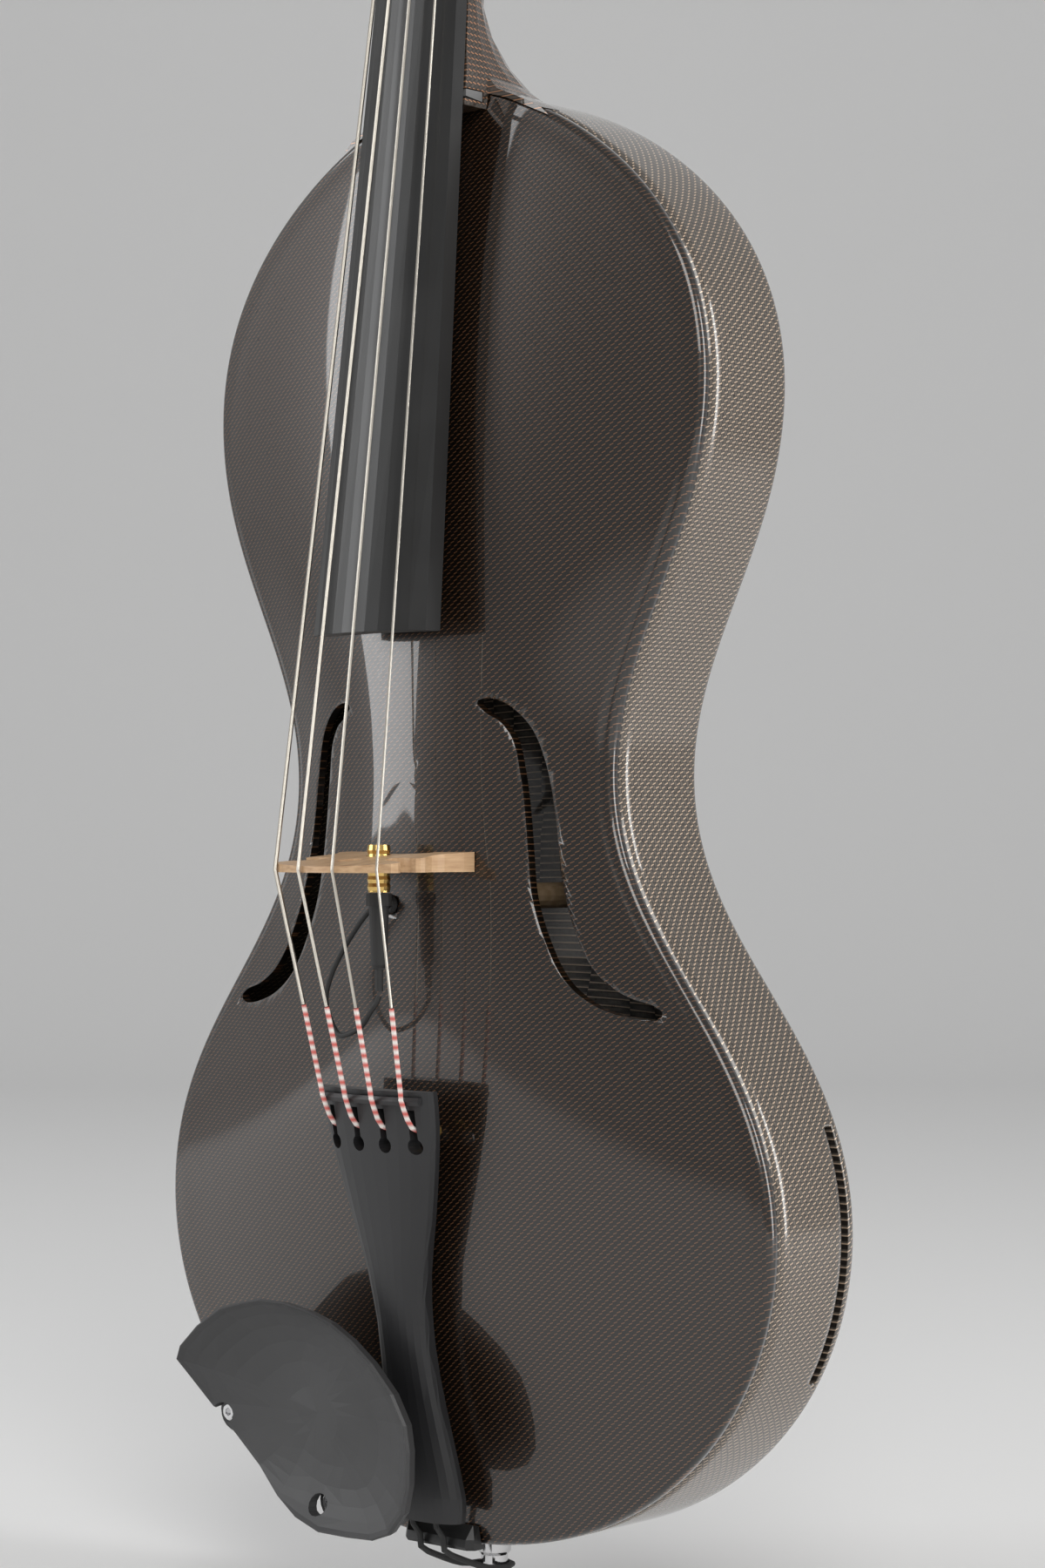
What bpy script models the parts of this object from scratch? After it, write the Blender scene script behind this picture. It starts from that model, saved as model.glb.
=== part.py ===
"""Viola with a moulded carbon body, upright, strings towards -Y, scroll up.

The body has no corners and no overhanging edges. The origin is the middle of
the end pin's outer face. +X is the treble side.
"""
import math

import bpy
import numpy as np

for item in list(bpy.data.objects):
    bpy.data.objects.remove(item, do_unlink=True)

# Lengths below are in millimetres and meshes are made in metres
MM = 0.001
GAP = 0.3
# Room for the flats of a curved wall, which lie inside its true curve
CHORD_ROOM = 0.35

# Body
BODY_LENGTH = 406.0
LOWER_BOUT = 228.0
LOWER_BOUT_AT = 90.5
WAIST = 120.6
WAIST_AT = 212.5
UPPER_BOUT = 184.6
UPPER_BOUT_AT = 318.5
RIB_DEPTH = 38.5
TOP_ARCH = 16.5
BACK_ARCH = 15.0
# Lengths of the curve handles that round the outline, from the bottom block to the top block
BOTTOM_ROUND = 71.5
LOWER_ROUND_BELOW = 46.0
LOWER_ROUND_ABOVE = 54.0
WAIST_ROUND_BELOW = 48.0
WAIST_ROUND_ABOVE = 37.0
UPPER_ROUND_BELOW = 43.0
UPPER_ROUND_ABOVE = 60.0
TOP_ROUND = 21.5
OUTLINE_STEPS = 8
# Shell walls
PLATE_WALL = 2.6
RIB_WALL = 2.2
FRONT_ROLL = 2.4
BACK_ROLL = 4.0
TOP_RIM = 3.4
LEDGE_WIDTH = 4.6
LEDGE_DEPTH = 3.0
# Sound holes: distance from the centre, height over their own middle, width of the slot
SOUND_HOLE = ((24.6, 46.1, 1.2), (28.0, 45.1, 4.4), (33.0, 42.5, 5.2), (37.6, 36.6, 6.2),
              (40.2, 27.1, 7.4), (42.0, 15.6, 8.0), (43.4, 5.0, 8.4), (45.3, -5.7, 8.9),
              (49.1, -16.2, 8.6), (54.8, -26.0, 8.2), (62.0, -32.2, 6.6), (70.0, -35.6, 5.2),
              (77.0, -37.0, 4.2), (80.3, -37.3, 1.4))
SOUND_HOLE_DROP = 25.8
# Shoulder rest slots in the lower ribs
SLOT_WIDTH = 3.0
SLOT_DEPTH = 4.5
SLOT_FROM_BACK = 6.4
SLOT_LOW = 50.0
SLOT_HIGH = 120.0
CHANNEL_WALL = 0.8
# Strings
BODY_STOP = 219.3
NECK_LENGTH = 147.5
STRING_NAMES = ("c", "g", "d", "a")
STRING_DIAMETERS = (1.2, 1.0, 0.9, 0.8)
STRING_SPREAD_BRIDGE = 38.8
STRING_SPREAD_NUT = 16.4
BRIDGE_STRING_Y = -66.6
BRIDGE_RADIUS = 46.0
NUT_STRING_Y = -19.1
STRING_SPREAD_TAIL = 30.0
SILK_DIAMETER = 1.4
SILK_LENGTH = 31.0
BALL_DIAMETER = 3.2
# Bridge
BRIDGE_FOOT_THICK = 5.4
BRIDGE_TOP_THICK = 1.6
BRIDGE_FOOT_SPREAD = 48.0
BRIDGE_LEG_INSIDE = 11.6
# Neck and fingerboard
NECK_SLOPE = math.radians(5.68)
NECK_SEAT_Y = -13.8
BOARD_REACH = 301.6
BOARD_WIDTH_NUT = 23.5
BOARD_WIDTH_END = 43.0
BOARD_EDGE_NUT = 3.3
BOARD_EDGE_END = 5.6
BOARD_RADIUS = 39.0
BOARD_HOLLOW = 3.0
NUT_LENGTH = 5.0
SHIM_DEPTH = 6.9
SHIM_FRONT = 1.9
SHIM_BACK = 2.7
SHIM_DROP = 4.2
HEEL_FRONT = 34.4
HEEL_LEDGE = 1.2
# Pegbox, scroll and pegs
PEGBOX_WALL = 3.9
PEGBOX_FLOOR = 5.5
SCROLL_RADIUS = 21.0
SCROLL_EYE = 4.4
SCROLL_TURNS = 2.25
SCROLL_RISE = 103.0
SCROLL_Y = 17.0
SCROLL_NARROW = 8.6
SCROLL_WIDE = 20.0
PEG_RISE = (20.0, 56.0, 72.0, 37.0)
PEG_DEPTH = (2.5, 11.0, 15.5, 6.5)
PEG_SIDE = (-1, -1, 1, 1)
PEG_RADIUS = 3.9
PEG_TAPER = 0.5
PEG_NECK = 9.0
PEG_HEAD_LENGTH = 17.0
PEG_HEAD_WIDTH = 20.0
PEG_HEAD_THICK = 9.0
PEG_POKE = 1.5
WINDING_TURNS = 2
TURN_CLEARANCE = 0.45
# Tailpiece
TAIL_LOW_ABOVE_BODY = 7.5
TAIL_BELOW_BRIDGE = 59.2
TAIL_WALL = 5.0
TAIL_EDGE_HIGH_Y = -45.0
TAIL_EDGE_LOW_Y = -25.5
TAIL_KEYHOLE = 4.4
TAIL_FRET_THICK = 2.2
TAIL_FRET_HEIGHT = 1.6
# Height over the body's bottom edge and half width of the tailpiece
TAIL_SHAPE = ((0.0, 12.6), (0.06, 14.0), (0.2, 11.8), (0.34, 9.6), (0.46, 9.3), (0.58, 11.0),
              (0.7, 14.8), (0.82, 18.2), (0.92, 20.4), (1.0, 20.9))
TAILGUT_DIAMETER = 1.8
TAILGUT_SPREAD = 9.0
SADDLE_WIDTH = 26.0
SADDLE_LENGTH = 5.0
SADDLE_HEIGHT = 3.4
# End pin
PIN_REACH = 22.0
PIN_FLANGE_DIAMETER = 11.8
PIN_FLANGE_THICK = 2.4
PIN_COLLAR = 1.4
PIN_WAIST_DIAMETER = 7.7
PIN_FOOT_DIAMETER = 13.0
PIN_SHANK_DIAMETER = 9.0
PIN_SHANK_LENGTH = 30.0
PIN_BORE_DIAMETER = 3.6
PIN_BORE_DEPTH = 16.0
PIN_NUT_ACROSS = 13.0
PIN_NUT_THICK = 3.0
BLOCK_HALF_WIDTH = 24.0
BLOCK_LENGTH = 16.0
# Pickup
JACK_Y = -46.0
JACK_DIAMETER = 6.0
JACK_LENGTH = 13.0
JACK_BELOW_BRIDGE = 5.6
JACK_THREADS = 6
THREAD_DEPTH = 0.25
PLUG_COLLAR_DIAMETER = 7.2
PLUG_COLLAR_LENGTH = 3.4
PLUG_BODY_DIAMETER = 4.4
PLUG_LENGTH = 20.5
BOOT_LENGTH = 6.0
BOOT_DIAMETER = 2.4
CABLE_DIAMETER = 1.5
GROMMET_DIAMETER = 5.0
GROMMET_HEIGHT = 1.4
# Chinrest
CHIN_WALL = 3.2
CHIN_RIM = 3.4
CHIN_RIM_HIGH_Y = -53.0
CHIN_RIM_LOW_Y = -43.5
CHIN_DISH_Y = -43.5
CHIN_HOLE_LENGTH = 8.0
CHIN_HOLE_WIDTH = 6.0
POST_WIDTH = 12.0
POST_CORK = 1.6
SCREW_DIAMETER = 5.0
SCREW_HEAD = 2.0
SCREW_KEY = 2.5

# Places worked out from the sizes
BODY_Z = PIN_REACH
HALF_DEPTH = RIB_DEPTH / 2
BODY_TOP = BODY_Z + BODY_LENGTH
BRIDGE_Z = BODY_TOP - BODY_STOP
NUT_Z = BODY_TOP + NECK_LENGTH
BOARD_END_Z = NUT_Z - BOARD_REACH
SEAM_Y = -HALF_DEPTH + TOP_RIM

# Curves in the flat


def bezier(p0, p1, p2, p3, steps):
    """Points on a cubic curve, its last point left out."""
    t = np.linspace(0.0, 1.0, steps, endpoint=False)[:, None]
    a, b, c, d = (np.array(p, float) for p in (p0, p1, p2, p3))
    return (1 - t) ** 3 * a + 3 * (1 - t) ** 2 * t * b + 3 * (1 - t) * t * t * c + t ** 3 * d


def half_outline(steps):
    """Right half of the body's outline from its bottom to its top, as x and height."""
    lower, waist, upper = LOWER_BOUT / 2, WAIST / 2, UPPER_BOUT / 2
    pieces = (
        bezier((0, 0), (BOTTOM_ROUND, 0),
               (lower, LOWER_BOUT_AT - LOWER_ROUND_BELOW), (lower, LOWER_BOUT_AT), steps),
        bezier((lower, LOWER_BOUT_AT), (lower, LOWER_BOUT_AT + LOWER_ROUND_ABOVE),
               (waist, WAIST_AT - WAIST_ROUND_BELOW), (waist, WAIST_AT), steps),
        bezier((waist, WAIST_AT), (waist, WAIST_AT + WAIST_ROUND_ABOVE),
               (upper, UPPER_BOUT_AT - UPPER_ROUND_BELOW), (upper, UPPER_BOUT_AT), steps),
        bezier((upper, UPPER_BOUT_AT), (upper, UPPER_BOUT_AT + UPPER_ROUND_ABOVE),
               (TOP_ROUND, BODY_LENGTH), (0, BODY_LENGTH), steps),
        np.array([[0.0, BODY_LENGTH]]),
    )
    return np.concatenate(pieces)


FINE_HALF = half_outline(60)


def half_width(height):
    """Half width of the body at a height over its bottom edge."""
    return np.interp(height, FINE_HALF[:, 1], FINE_HALF[:, 0])


def outline_loop():
    """The whole outline, up the treble side and down the bass side, as x and height."""
    right = half_outline(OUTLINE_STEPS)
    left = right[-2:0:-1] * np.array([-1.0, 1.0])
    return np.concatenate([right, left])


def loop_normals(loop):
    """Outward normals of a loop that runs with its inside on the left."""
    step = np.roll(loop, -1, axis=0) - np.roll(loop, 1, axis=0)
    normal = np.stack([step[:, 1], -step[:, 0]], axis=1)
    return normal / np.linalg.norm(normal, axis=1)[:, None]


def inset(loop, distance):
    """The loop drawn in by a distance, or out by a negative one."""
    return loop - distance * loop_normals(loop)


def smooth_run(points, per_span, closed=False):
    """Points on a smooth curve that passes through the given ones."""
    p = np.array(points, float)
    if closed:
        p = np.concatenate([p[-1:], p, p[:2]])
    else:
        p = np.concatenate([2 * p[:1] - p[1:2], p, 2 * p[-1:] - p[-2:-1]])
    t = np.linspace(0.0, 1.0, per_span, endpoint=False)[:, None]
    spans = []
    for a, b, c, d in zip(p[:-3], p[1:-2], p[2:-1], p[3:]):
        spans.append(0.5 * (2 * b + (c - a) * t + (2 * a - 5 * b + 4 * c - d) * t ** 2
                            + (3 * b - a - 3 * c + d) * t ** 3))
    if not closed:
        spans.append(p[-2:-1])
    return np.concatenate(spans)


def arch(x, height, rise):
    """Rise of an arched plate over its edge: full along the middle, gone at the outline."""
    share = np.clip(np.abs(x) / np.maximum(half_width(height), 0.001), 0.0, 1.0)
    along = np.abs(2 * height / BODY_LENGTH - 1)
    return rise * np.clip(1 - along ** 3, 0, 1) ** 1.1 * (1 - share ** 2) ** 1.25


def front_y(x, z):
    """The top plate's outer surface."""
    return -HALF_DEPTH - arch(x, z - BODY_Z, TOP_ARCH)


def back_y(x, z):
    """The back's outer surface."""
    return HALF_DEPTH + arch(x, z - BODY_Z, BACK_ARCH)


def spaced(points, spacing):
    """A run of points read again at an even spacing."""
    p = np.array(points, float)
    along = np.concatenate([[0], np.cumsum(np.linalg.norm(np.diff(p, axis=0), axis=1))])
    wanted = np.linspace(0, along[-1], max(2, int(round(along[-1] / spacing)) + 1))
    return np.stack([np.interp(wanted, along, p[:, k]) for k in range(p.shape[1])], axis=1)


# Materials


def material(name, colour, roughness, metallic=0.0):
    made = bpy.data.materials.new(name)
    made.use_nodes = True
    shader = made.node_tree.nodes["Principled BSDF"]
    shader.inputs["Base Color"].default_value = (*colour, 1.0)
    shader.inputs["Roughness"].default_value = roughness
    shader.inputs["Metallic"].default_value = metallic
    made.diffuse_color = (*colour, 1.0)
    return made


CARBON = material("glossy carbon", (0.020, 0.016, 0.013), 0.08)
RIB_CARBON = material("copper wire carbon", (0.16, 0.14, 0.12), 0.12)
EBONY = material("satin black", (0.012, 0.012, 0.012), 0.35)
COMPOSITE = material("matt black composite", (0.020, 0.020, 0.021), 0.55)
CHARCOAL = material("charcoal chinrest", (0.035, 0.035, 0.036), 0.50)
MAPLE = material("bridge maple", (0.62, 0.44, 0.27), 0.45)
SPRUCE = material("spruce", (0.60, 0.45, 0.28), 0.6)
BRASS = material("brass", (0.75, 0.52, 0.18), 0.25, 1.0)
CHROME = material("chrome", (0.75, 0.75, 0.76), 0.08, 1.0)
RUBBER = material("black rubber", (0.015, 0.015, 0.015), 0.7)
STEEL = material("string winding", (0.70, 0.66, 0.56), 0.3, 1.0)
SILK = material("silk", (0.80, 0.76, 0.72), 0.8)
CORK = material("cork", (0.42, 0.27, 0.15), 0.9)
FOAM = material("block foam", (0.20, 0.19, 0.17), 0.8)
SHIM_GREY = material("grey shim", (0.10, 0.10, 0.10), 0.5)

# Making solids


def solid(name, verts, faces, look, sharp=35.0):
    """An object from points in millimetres, with its faces turned outwards."""
    mesh = bpy.data.meshes.new(name)
    points = np.array(verts, float)
    volume = 0.0
    for face in faces:
        a = points[face[0]]
        for i in range(1, len(face) - 1):
            volume += np.dot(a, np.cross(points[face[i]], points[face[i + 1]]))
    if volume < 0:
        faces = [tuple(reversed(face)) for face in faces]
    mesh.from_pydata((points * MM).tolist(), [], [tuple(face) for face in faces])
    mesh.shade_smooth()
    mesh.set_sharp_from_angle(angle=math.radians(sharp))
    mesh.materials.append(look)
    made = bpy.data.objects.new(name, mesh)
    bpy.context.scene.collection.objects.link(made)
    return made


def skin(rings, first=None, last=None):
    """Points and faces of rings joined in order, closed by a pole or a flat end."""
    count = len(rings[0])
    verts = [tuple(p) for ring in rings for p in ring]
    faces = []
    for r in range(len(rings) - 1):
        for k in range(count):
            j = (k + 1) % count
            low, high = r * count, (r + 1) * count
            faces.append((low + k, low + j, high + j, high + k))
    for pole, start, turn in ((first, 0, True), (last, (len(rings) - 1) * count, False)):
        if pole is None:
            end = tuple(range(start, start + count))
            faces.append(tuple(reversed(end)) if turn else end)
            continue
        verts.append(tuple(pole))
        middle = len(verts) - 1
        for k in range(count):
            j = (k + 1) % count
            faces.append((middle, start + j, start + k) if turn else (middle, start + k, start + j))
    return verts, faces


def plane_ring(loop, y):
    """A loop of x and z placed at a depth, which may differ from point to point."""
    y = np.broadcast_to(y, len(loop))
    return np.stack([loop[:, 0], y, loop[:, 1]], axis=1)


def prism(name, loop, y0, y1, look, sharp=35.0):
    """A flat shape in x and z with its two faces at the given depths."""
    return solid(name, *skin([plane_ring(loop, y0), plane_ring(loop, y1)]), look, sharp)


def box(name, low, high, look):
    """A plain block between two corners."""
    loop = np.array([(low[0], low[2]), (high[0], low[2]), (high[0], high[2]), (low[0], high[2])])
    return prism(name, loop, low[1], high[1], look)


def circle(count, radius, start=0.0):
    a = start + 2 * math.pi * np.arange(count) / count
    return radius * np.stack([np.cos(a), np.sin(a)], axis=1)


def turned(name, profile, centre, axis, look, sides=20):
    """A round solid from its radius at each distance along an axis."""
    ring = circle(sides, 1.0)
    rings = []
    for distance, radius in profile:
        flat = ring * radius
        along = np.full(sides, float(distance))
        columns = {"X": (along, flat[:, 0], flat[:, 1]),
                   "Y": (flat[:, 1], along, flat[:, 0]),
                   "Z": (flat[:, 0], flat[:, 1], along)}[axis]
        rings.append(np.stack(columns, axis=1) + np.array(centre, float))
    return solid(name, *skin(rings), look)


def tube(name, points, diameter, look, sides_level=2):
    """A round cord along points in millimetres, with its ends closed."""
    curve = bpy.data.curves.new(name, "CURVE")
    curve.dimensions = "3D"
    curve.bevel_depth = diameter / 2 * MM
    curve.bevel_resolution = sides_level
    curve.use_fill_caps = True
    line = curve.splines.new("POLY")
    line.points.add(len(points) - 1)
    for point, place in zip(line.points, points):
        point.co = (*(float(v) * MM for v in place), 1.0)
    curve.materials.append(look)
    made = bpy.data.objects.new(name, curve)
    bpy.context.scene.collection.objects.link(made)
    return made


def shape_with(target, tool, operation="DIFFERENCE"):
    """Cuts a solid with another, or joins or trims it, and hides the tool."""
    step = target.modifiers.new(tool.name, "BOOLEAN")
    step.object = tool
    step.operation = operation
    step.solver = "EXACT"
    tool.display_type = "WIRE"
    tool.hide_render = True
    return target


# Body

OUTLINE = outline_loop()
HEART = np.array([0.0, WAIST_AT])
PLATE_SHARES = (0.18, 0.38, 0.56, 0.71, 0.83, 0.93)
INNER_SHARES = (0.25, 0.5, 0.72, 0.9)


def body_ring(loop, y):
    """A ring of the body from a loop in body heights."""
    return plane_ring(loop + np.array([0.0, BODY_Z]), y)


def arched_rings(loop, shares, side, lift):
    """Rings drawn in towards the waist's middle that follow an arched plate."""
    rings = []
    for share in shares:
        flat = HEART + share * (loop - HEART)
        rise = arch(flat[:, 0], flat[:, 1], TOP_ARCH if side < 0 else BACK_ARCH)
        rings.append(body_ring(flat, side * (HALF_DEPTH + rise + lift)))
    return rings


def arched_pole(side, lift):
    rise = arch(0.0, WAIST_AT, TOP_ARCH if side < 0 else BACK_ARCH)
    return (0.0, side * (HALF_DEPTH + rise + lift), WAIST_AT + BODY_Z)


def rolled_rings(side, roll, angles):
    """Rings round an edge of the body, from its plate to its rib."""
    rings = []
    for angle in np.radians(angles):
        drawn_in = roll * (1 - math.cos(angle))
        rings.append(body_ring(inset(OUTLINE, drawn_in), side * (HALF_DEPTH - roll * (1 - math.sin(angle)))))
    return rings


def body_volume(name, grow):
    """The body's outer form as one solid, grown by a clearance, for cutting its neighbours."""
    wide = inset(OUTLINE, -grow)
    rings = arched_rings(wide, PLATE_SHARES + (0.985,), -1, grow)
    rings.append(body_ring(wide, -HALF_DEPTH))
    rings.append(body_ring(wide, HALF_DEPTH))
    rings += list(reversed(arched_rings(wide, PLATE_SHARES + (0.985,), 1, grow)))
    return solid(name, *skin(rings, arched_pole(-1, grow), arched_pole(1, grow)), CARBON)


def make_top_plate():
    edge = inset(OUTLINE, FRONT_ROLL)
    rings = arched_rings(edge, PLATE_SHARES, -1, 0.0)
    rings += rolled_rings(-1, FRONT_ROLL, (90, 60, 30, 0))
    rings.append(body_ring(OUTLINE, SEAM_Y))
    ledge = inset(OUTLINE, LEDGE_WIDTH)
    rings.append(body_ring(ledge, SEAM_Y))
    rings += list(reversed(arched_rings(ledge, INNER_SHARES, -1, -PLATE_WALL)))
    return solid("top_plate", *skin(rings, arched_pole(-1, 0.0), arched_pole(-1, -PLATE_WALL)), CARBON)


def make_body_shell():
    edge = inset(OUTLINE, BACK_ROLL)
    rings = arched_rings(edge, PLATE_SHARES, 1, 0.0)
    rings += rolled_rings(1, BACK_ROLL, (90, 60, 30, 0))
    rim_y = SEAM_Y + GAP
    rings.append(body_ring(OUTLINE, rim_y))
    ledge = inset(OUTLINE, LEDGE_WIDTH)
    wall = inset(OUTLINE, RIB_WALL)
    rings.append(body_ring(ledge, rim_y))
    rings.append(body_ring(ledge, rim_y + LEDGE_DEPTH))
    rings.append(body_ring(wall, rim_y + LEDGE_DEPTH + LEDGE_WIDTH - RIB_WALL))
    rings.append(body_ring(wall, HALF_DEPTH - BACK_ROLL))
    foot = inset(OUTLINE, BACK_ROLL + RIB_WALL)
    rings += list(reversed(arched_rings(foot, INNER_SHARES + (1.0,), 1, -PLATE_WALL)))
    return solid("body_shell", *skin(rings, arched_pole(1, 0.0), arched_pole(1, -PLATE_WALL)), RIB_CARBON)


def sound_hole_loop(side):
    """The slot's two edges, worked out from its middle line and its width."""
    line = smooth_run(SOUND_HOLE, 2)
    middle = line[:, :2] * np.array([side, 1.0]) + np.array([0.0, BODY_Z + WAIST_AT - SOUND_HOLE_DROP])
    step = np.gradient(middle, axis=0)
    across = np.stack([step[:, 1], -step[:, 0]], axis=1)
    across /= np.linalg.norm(across, axis=1)[:, None]
    half = line[:, 2:3] / 2
    return np.concatenate([middle + across * half, (middle - across * half)[::-1]])


top_plate = make_top_plate()
for side, word in ((-1, "bass"), (1, "treble")):
    cutter = prism("cut_sound_hole_" + word, sound_hole_loop(side), -HALF_DEPTH - TOP_ARCH - 10, -5, CARBON)
    shape_with(top_plate, cutter)
body_shell = make_body_shell()


def rib_run(side, low, high, distance, steps):
    """Points along a lower rib between two heights, drawn in by a distance."""
    fine = half_outline(40)
    keep = (fine[:, 1] > low) & (fine[:, 1] < high)
    inner = inset(np.concatenate([fine, (fine * [-1, 1])[-2:0:-1]]), distance)[:len(fine)][keep]
    run = spaced(inner, np.linalg.norm(np.diff(inner, axis=0), axis=1).sum() / steps)
    return run * np.array([side, 1.0]) + np.array([0.0, BODY_Z])


def rib_strip(name, side, low, high, outer, inner, y0, y1, look, steps=8):
    """A curved bar that follows a lower rib between two drawn-in distances."""
    out = rib_run(side, low, high, outer, steps)
    back = rib_run(side, low, high, inner, steps)[::-1]
    loop = np.concatenate([out, back])
    return prism(name, loop if side > 0 else loop[::-1], y0, y1, look)


SLOT_Y = HALF_DEPTH - SLOT_FROM_BACK
for side, word in ((-1, "bass"), (1, "treble")):
    slot = rib_strip("cut_slot_" + word, side, SLOT_LOW, SLOT_HIGH, -2.0, RIB_WALL + 1.0,
                     SLOT_Y - SLOT_WIDTH / 2, SLOT_Y + SLOT_WIDTH / 2, RIB_CARBON)
    shape_with(body_shell, slot)
    reach = CHANNEL_WALL + GAP
    channel = rib_strip("slot_channel_" + word, side, SLOT_LOW - reach, SLOT_HIGH + reach,
                        RIB_WALL + GAP + CHORD_ROOM, SLOT_DEPTH + CHANNEL_WALL,
                        SLOT_Y - SLOT_WIDTH / 2 - CHANNEL_WALL, SLOT_Y + SLOT_WIDTH / 2 + CHANNEL_WALL, CARBON)
    hollow = rib_strip("cut_channel_" + word, side, SLOT_LOW, SLOT_HIGH, 0.0, SLOT_DEPTH,
                       SLOT_Y - SLOT_WIDTH / 2, SLOT_Y + SLOT_WIDTH / 2, CARBON)
    shape_with(channel, hollow)

# Inside the body


def block(name, at_top):
    """A block between the plates at one end of the body, clear of the ledge."""
    fine = half_outline(24)
    ring = inset(np.concatenate([fine, (fine * [-1, 1])[-2:0:-1]]), LEDGE_WIDTH + GAP + CHORD_ROOM)
    near = ring[:, 1] > BODY_LENGTH / 2 if at_top else ring[:, 1] < BODY_LENGTH / 2
    end = ring[near & (np.abs(ring[:, 0]) <= BLOCK_HALF_WIDTH)]
    end = end[np.argsort(end[:, 0])][::2]
    inside = BODY_LENGTH - LEDGE_WIDTH - BLOCK_LENGTH if at_top else LEDGE_WIDTH + BLOCK_LENGTH
    loop = np.concatenate([end, [(end[-1, 0], inside), (end[0, 0], inside)]])
    loop = loop + np.array([0.0, BODY_Z])
    wall = PLATE_WALL + GAP + 2 * CHORD_ROOM
    front = front_y(loop[:, 0], loop[:, 1]) + wall
    back = back_y(loop[:, 0], loop[:, 1]) - wall
    front = np.maximum(front, SEAM_Y + GAP)
    back = np.minimum(back, HALF_DEPTH - BACK_ROLL + CHORD_ROOM)
    return prism_between(name, loop, front, back, FOAM)


def prism_between(name, loop, front, back, look):
    """A prism whose two faces follow the given depths."""
    return solid(name, *skin([plane_ring(loop, front), plane_ring(loop, back)]), look)


top_block = block("top_block", True)
end_block = block("end_block", False)

POST_X = 19.0
POST_BELOW_BRIDGE = 7.0
POST_RADIUS = 3.6
BAR_X = -19.0
BAR_WIDTH = 5.0
BAR_DEPTH = 10.0
BAR_LENGTH = 300.0


def make_soundpost():
    flat = circle(16, POST_RADIUS) + np.array([POST_X, BRIDGE_Z - POST_BELOW_BRIDGE])
    front = front_y(flat[:, 0], flat[:, 1]) + PLATE_WALL + GAP
    back = back_y(flat[:, 0], flat[:, 1]) - PLATE_WALL - GAP
    return prism_between("soundpost", flat, front, back, SPRUCE)


def make_bass_bar():
    z = np.linspace(BRIDGE_Z - BAR_LENGTH / 2, BRIDGE_Z + BAR_LENGTH / 2, 15)
    share = np.abs(2 * (z - BRIDGE_Z) / BAR_LENGTH)
    depth = BAR_DEPTH * (1 - 0.6 * share ** 2)
    rings = []
    for height, deep in zip(z, depth):
        left, right = BAR_X - BAR_WIDTH / 2, BAR_X + BAR_WIDTH / 2
        sit = [front_y(x, height) + PLATE_WALL + 2 * GAP + 0.2 for x in (left, right)]
        rings.append(np.array([(left, sit[0], height), (right, sit[1], height),
                               (right, sit[1] + deep, height), (left, sit[1] + deep, height)]))
    return solid("bass_bar", *skin(rings), SPRUCE)


make_soundpost()
make_bass_bar()

# Neck, pegbox and scroll


def seat_y(z):
    """The neck's glued face, under the fingerboard."""
    return NECK_SEAT_Y - (NUT_Z - z) * math.tan(NECK_SLOPE)


def board_half_width(z):
    share = (NUT_Z - z) / BOARD_REACH
    return (BOARD_WIDTH_NUT + (BOARD_WIDTH_END - BOARD_WIDTH_NUT) * share) / 2


def neck_section(z, front, back, half, square):
    """One section of the neck: flat in front, rounded behind; a low square value is boxier."""
    side = np.linspace(0.0, math.pi, 15)
    x = half * np.sign(np.cos(side)) * np.abs(np.cos(side)) ** square
    y = front + (back - front) * np.abs(np.sin(side)) ** square
    loop = np.stack([x, y, np.full(len(x), z)], axis=1)
    face = [(-half * 0.5, front, z), (0.0, front, z), (half * 0.5, front, z)]
    return np.concatenate([loop, face])


# The heel's flare over the body: depth under its top, back, reach past its outline, squareness
FLARE = ((13.0, 19.0, -1.3, 0.6), (10.5, 19.0, 0.7, 0.6), (8.0, 18.9, 1.35, 0.62),
         (5.5, 18.2, 1.9, 0.66), (3.0, 16.4, 3.7, 0.75))
# Height over the body's top, back of the neck, half width, squareness of the section
HEEL = ((0.5, 11.5, 17.4, 0.85),
        (6.0, 3.0, 16.6, 0.95), (13.0, -4.8, 16.3, 1.0), (21.0, -10.3, 15.9, 1.0))
# Height over the nut, front face, back, half width, squareness
PEGBOX = ((7.0, -12.6, 8.0, 12.2, 0.7), (13.0, -11.2, 14.5, 12.4, 0.45), (26.0, -8.2, 19.5, 12.2, 0.3),
          (50.0, -2.5, 24.5, 11.0, 0.3), (75.0, 4.5, 28.8, 9.4, 0.3), (88.0, 9.5, 31.0, 8.5, 0.3),
          (94.0, 13.0, 28.0, 8.0, 0.4))
NECK_BACK_AT_NUT = 15.0
NECK_BACK_AT_HEEL = 16.6


def pegbox_value(rise, column):
    table = np.array(PEGBOX)
    return float(np.interp(rise, table[:, 0], table[:, column]))


def make_neck():
    rings = []
    for under, back, reach, square in FLARE:
        z = BODY_TOP - under
        rings.append(neck_section(z, seat_y(z), back, float(half_width(BODY_LENGTH - under)) + reach, square))
    rings += [neck_section(BODY_TOP + z, seat_y(BODY_TOP + z), back, half, square) for z, back, half, square in HEEL]
    low, high = BODY_TOP + HEEL[-1][0], NUT_Z
    for share in (0.25, 0.5, 0.75, 1.0):
        z = low + (high - low) * share
        deep = NECK_BACK_AT_HEEL + (NECK_BACK_AT_NUT - NECK_BACK_AT_HEEL) * share
        rings.append(neck_section(z, seat_y(z), seat_y(z) + deep, board_half_width(z), 1.0))
    rings += [neck_section(NUT_Z + rise, front, back, half, square) for rise, front, back, half, square in PEGBOX]
    return solid("neck", *skin(rings), CARBON)


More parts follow.
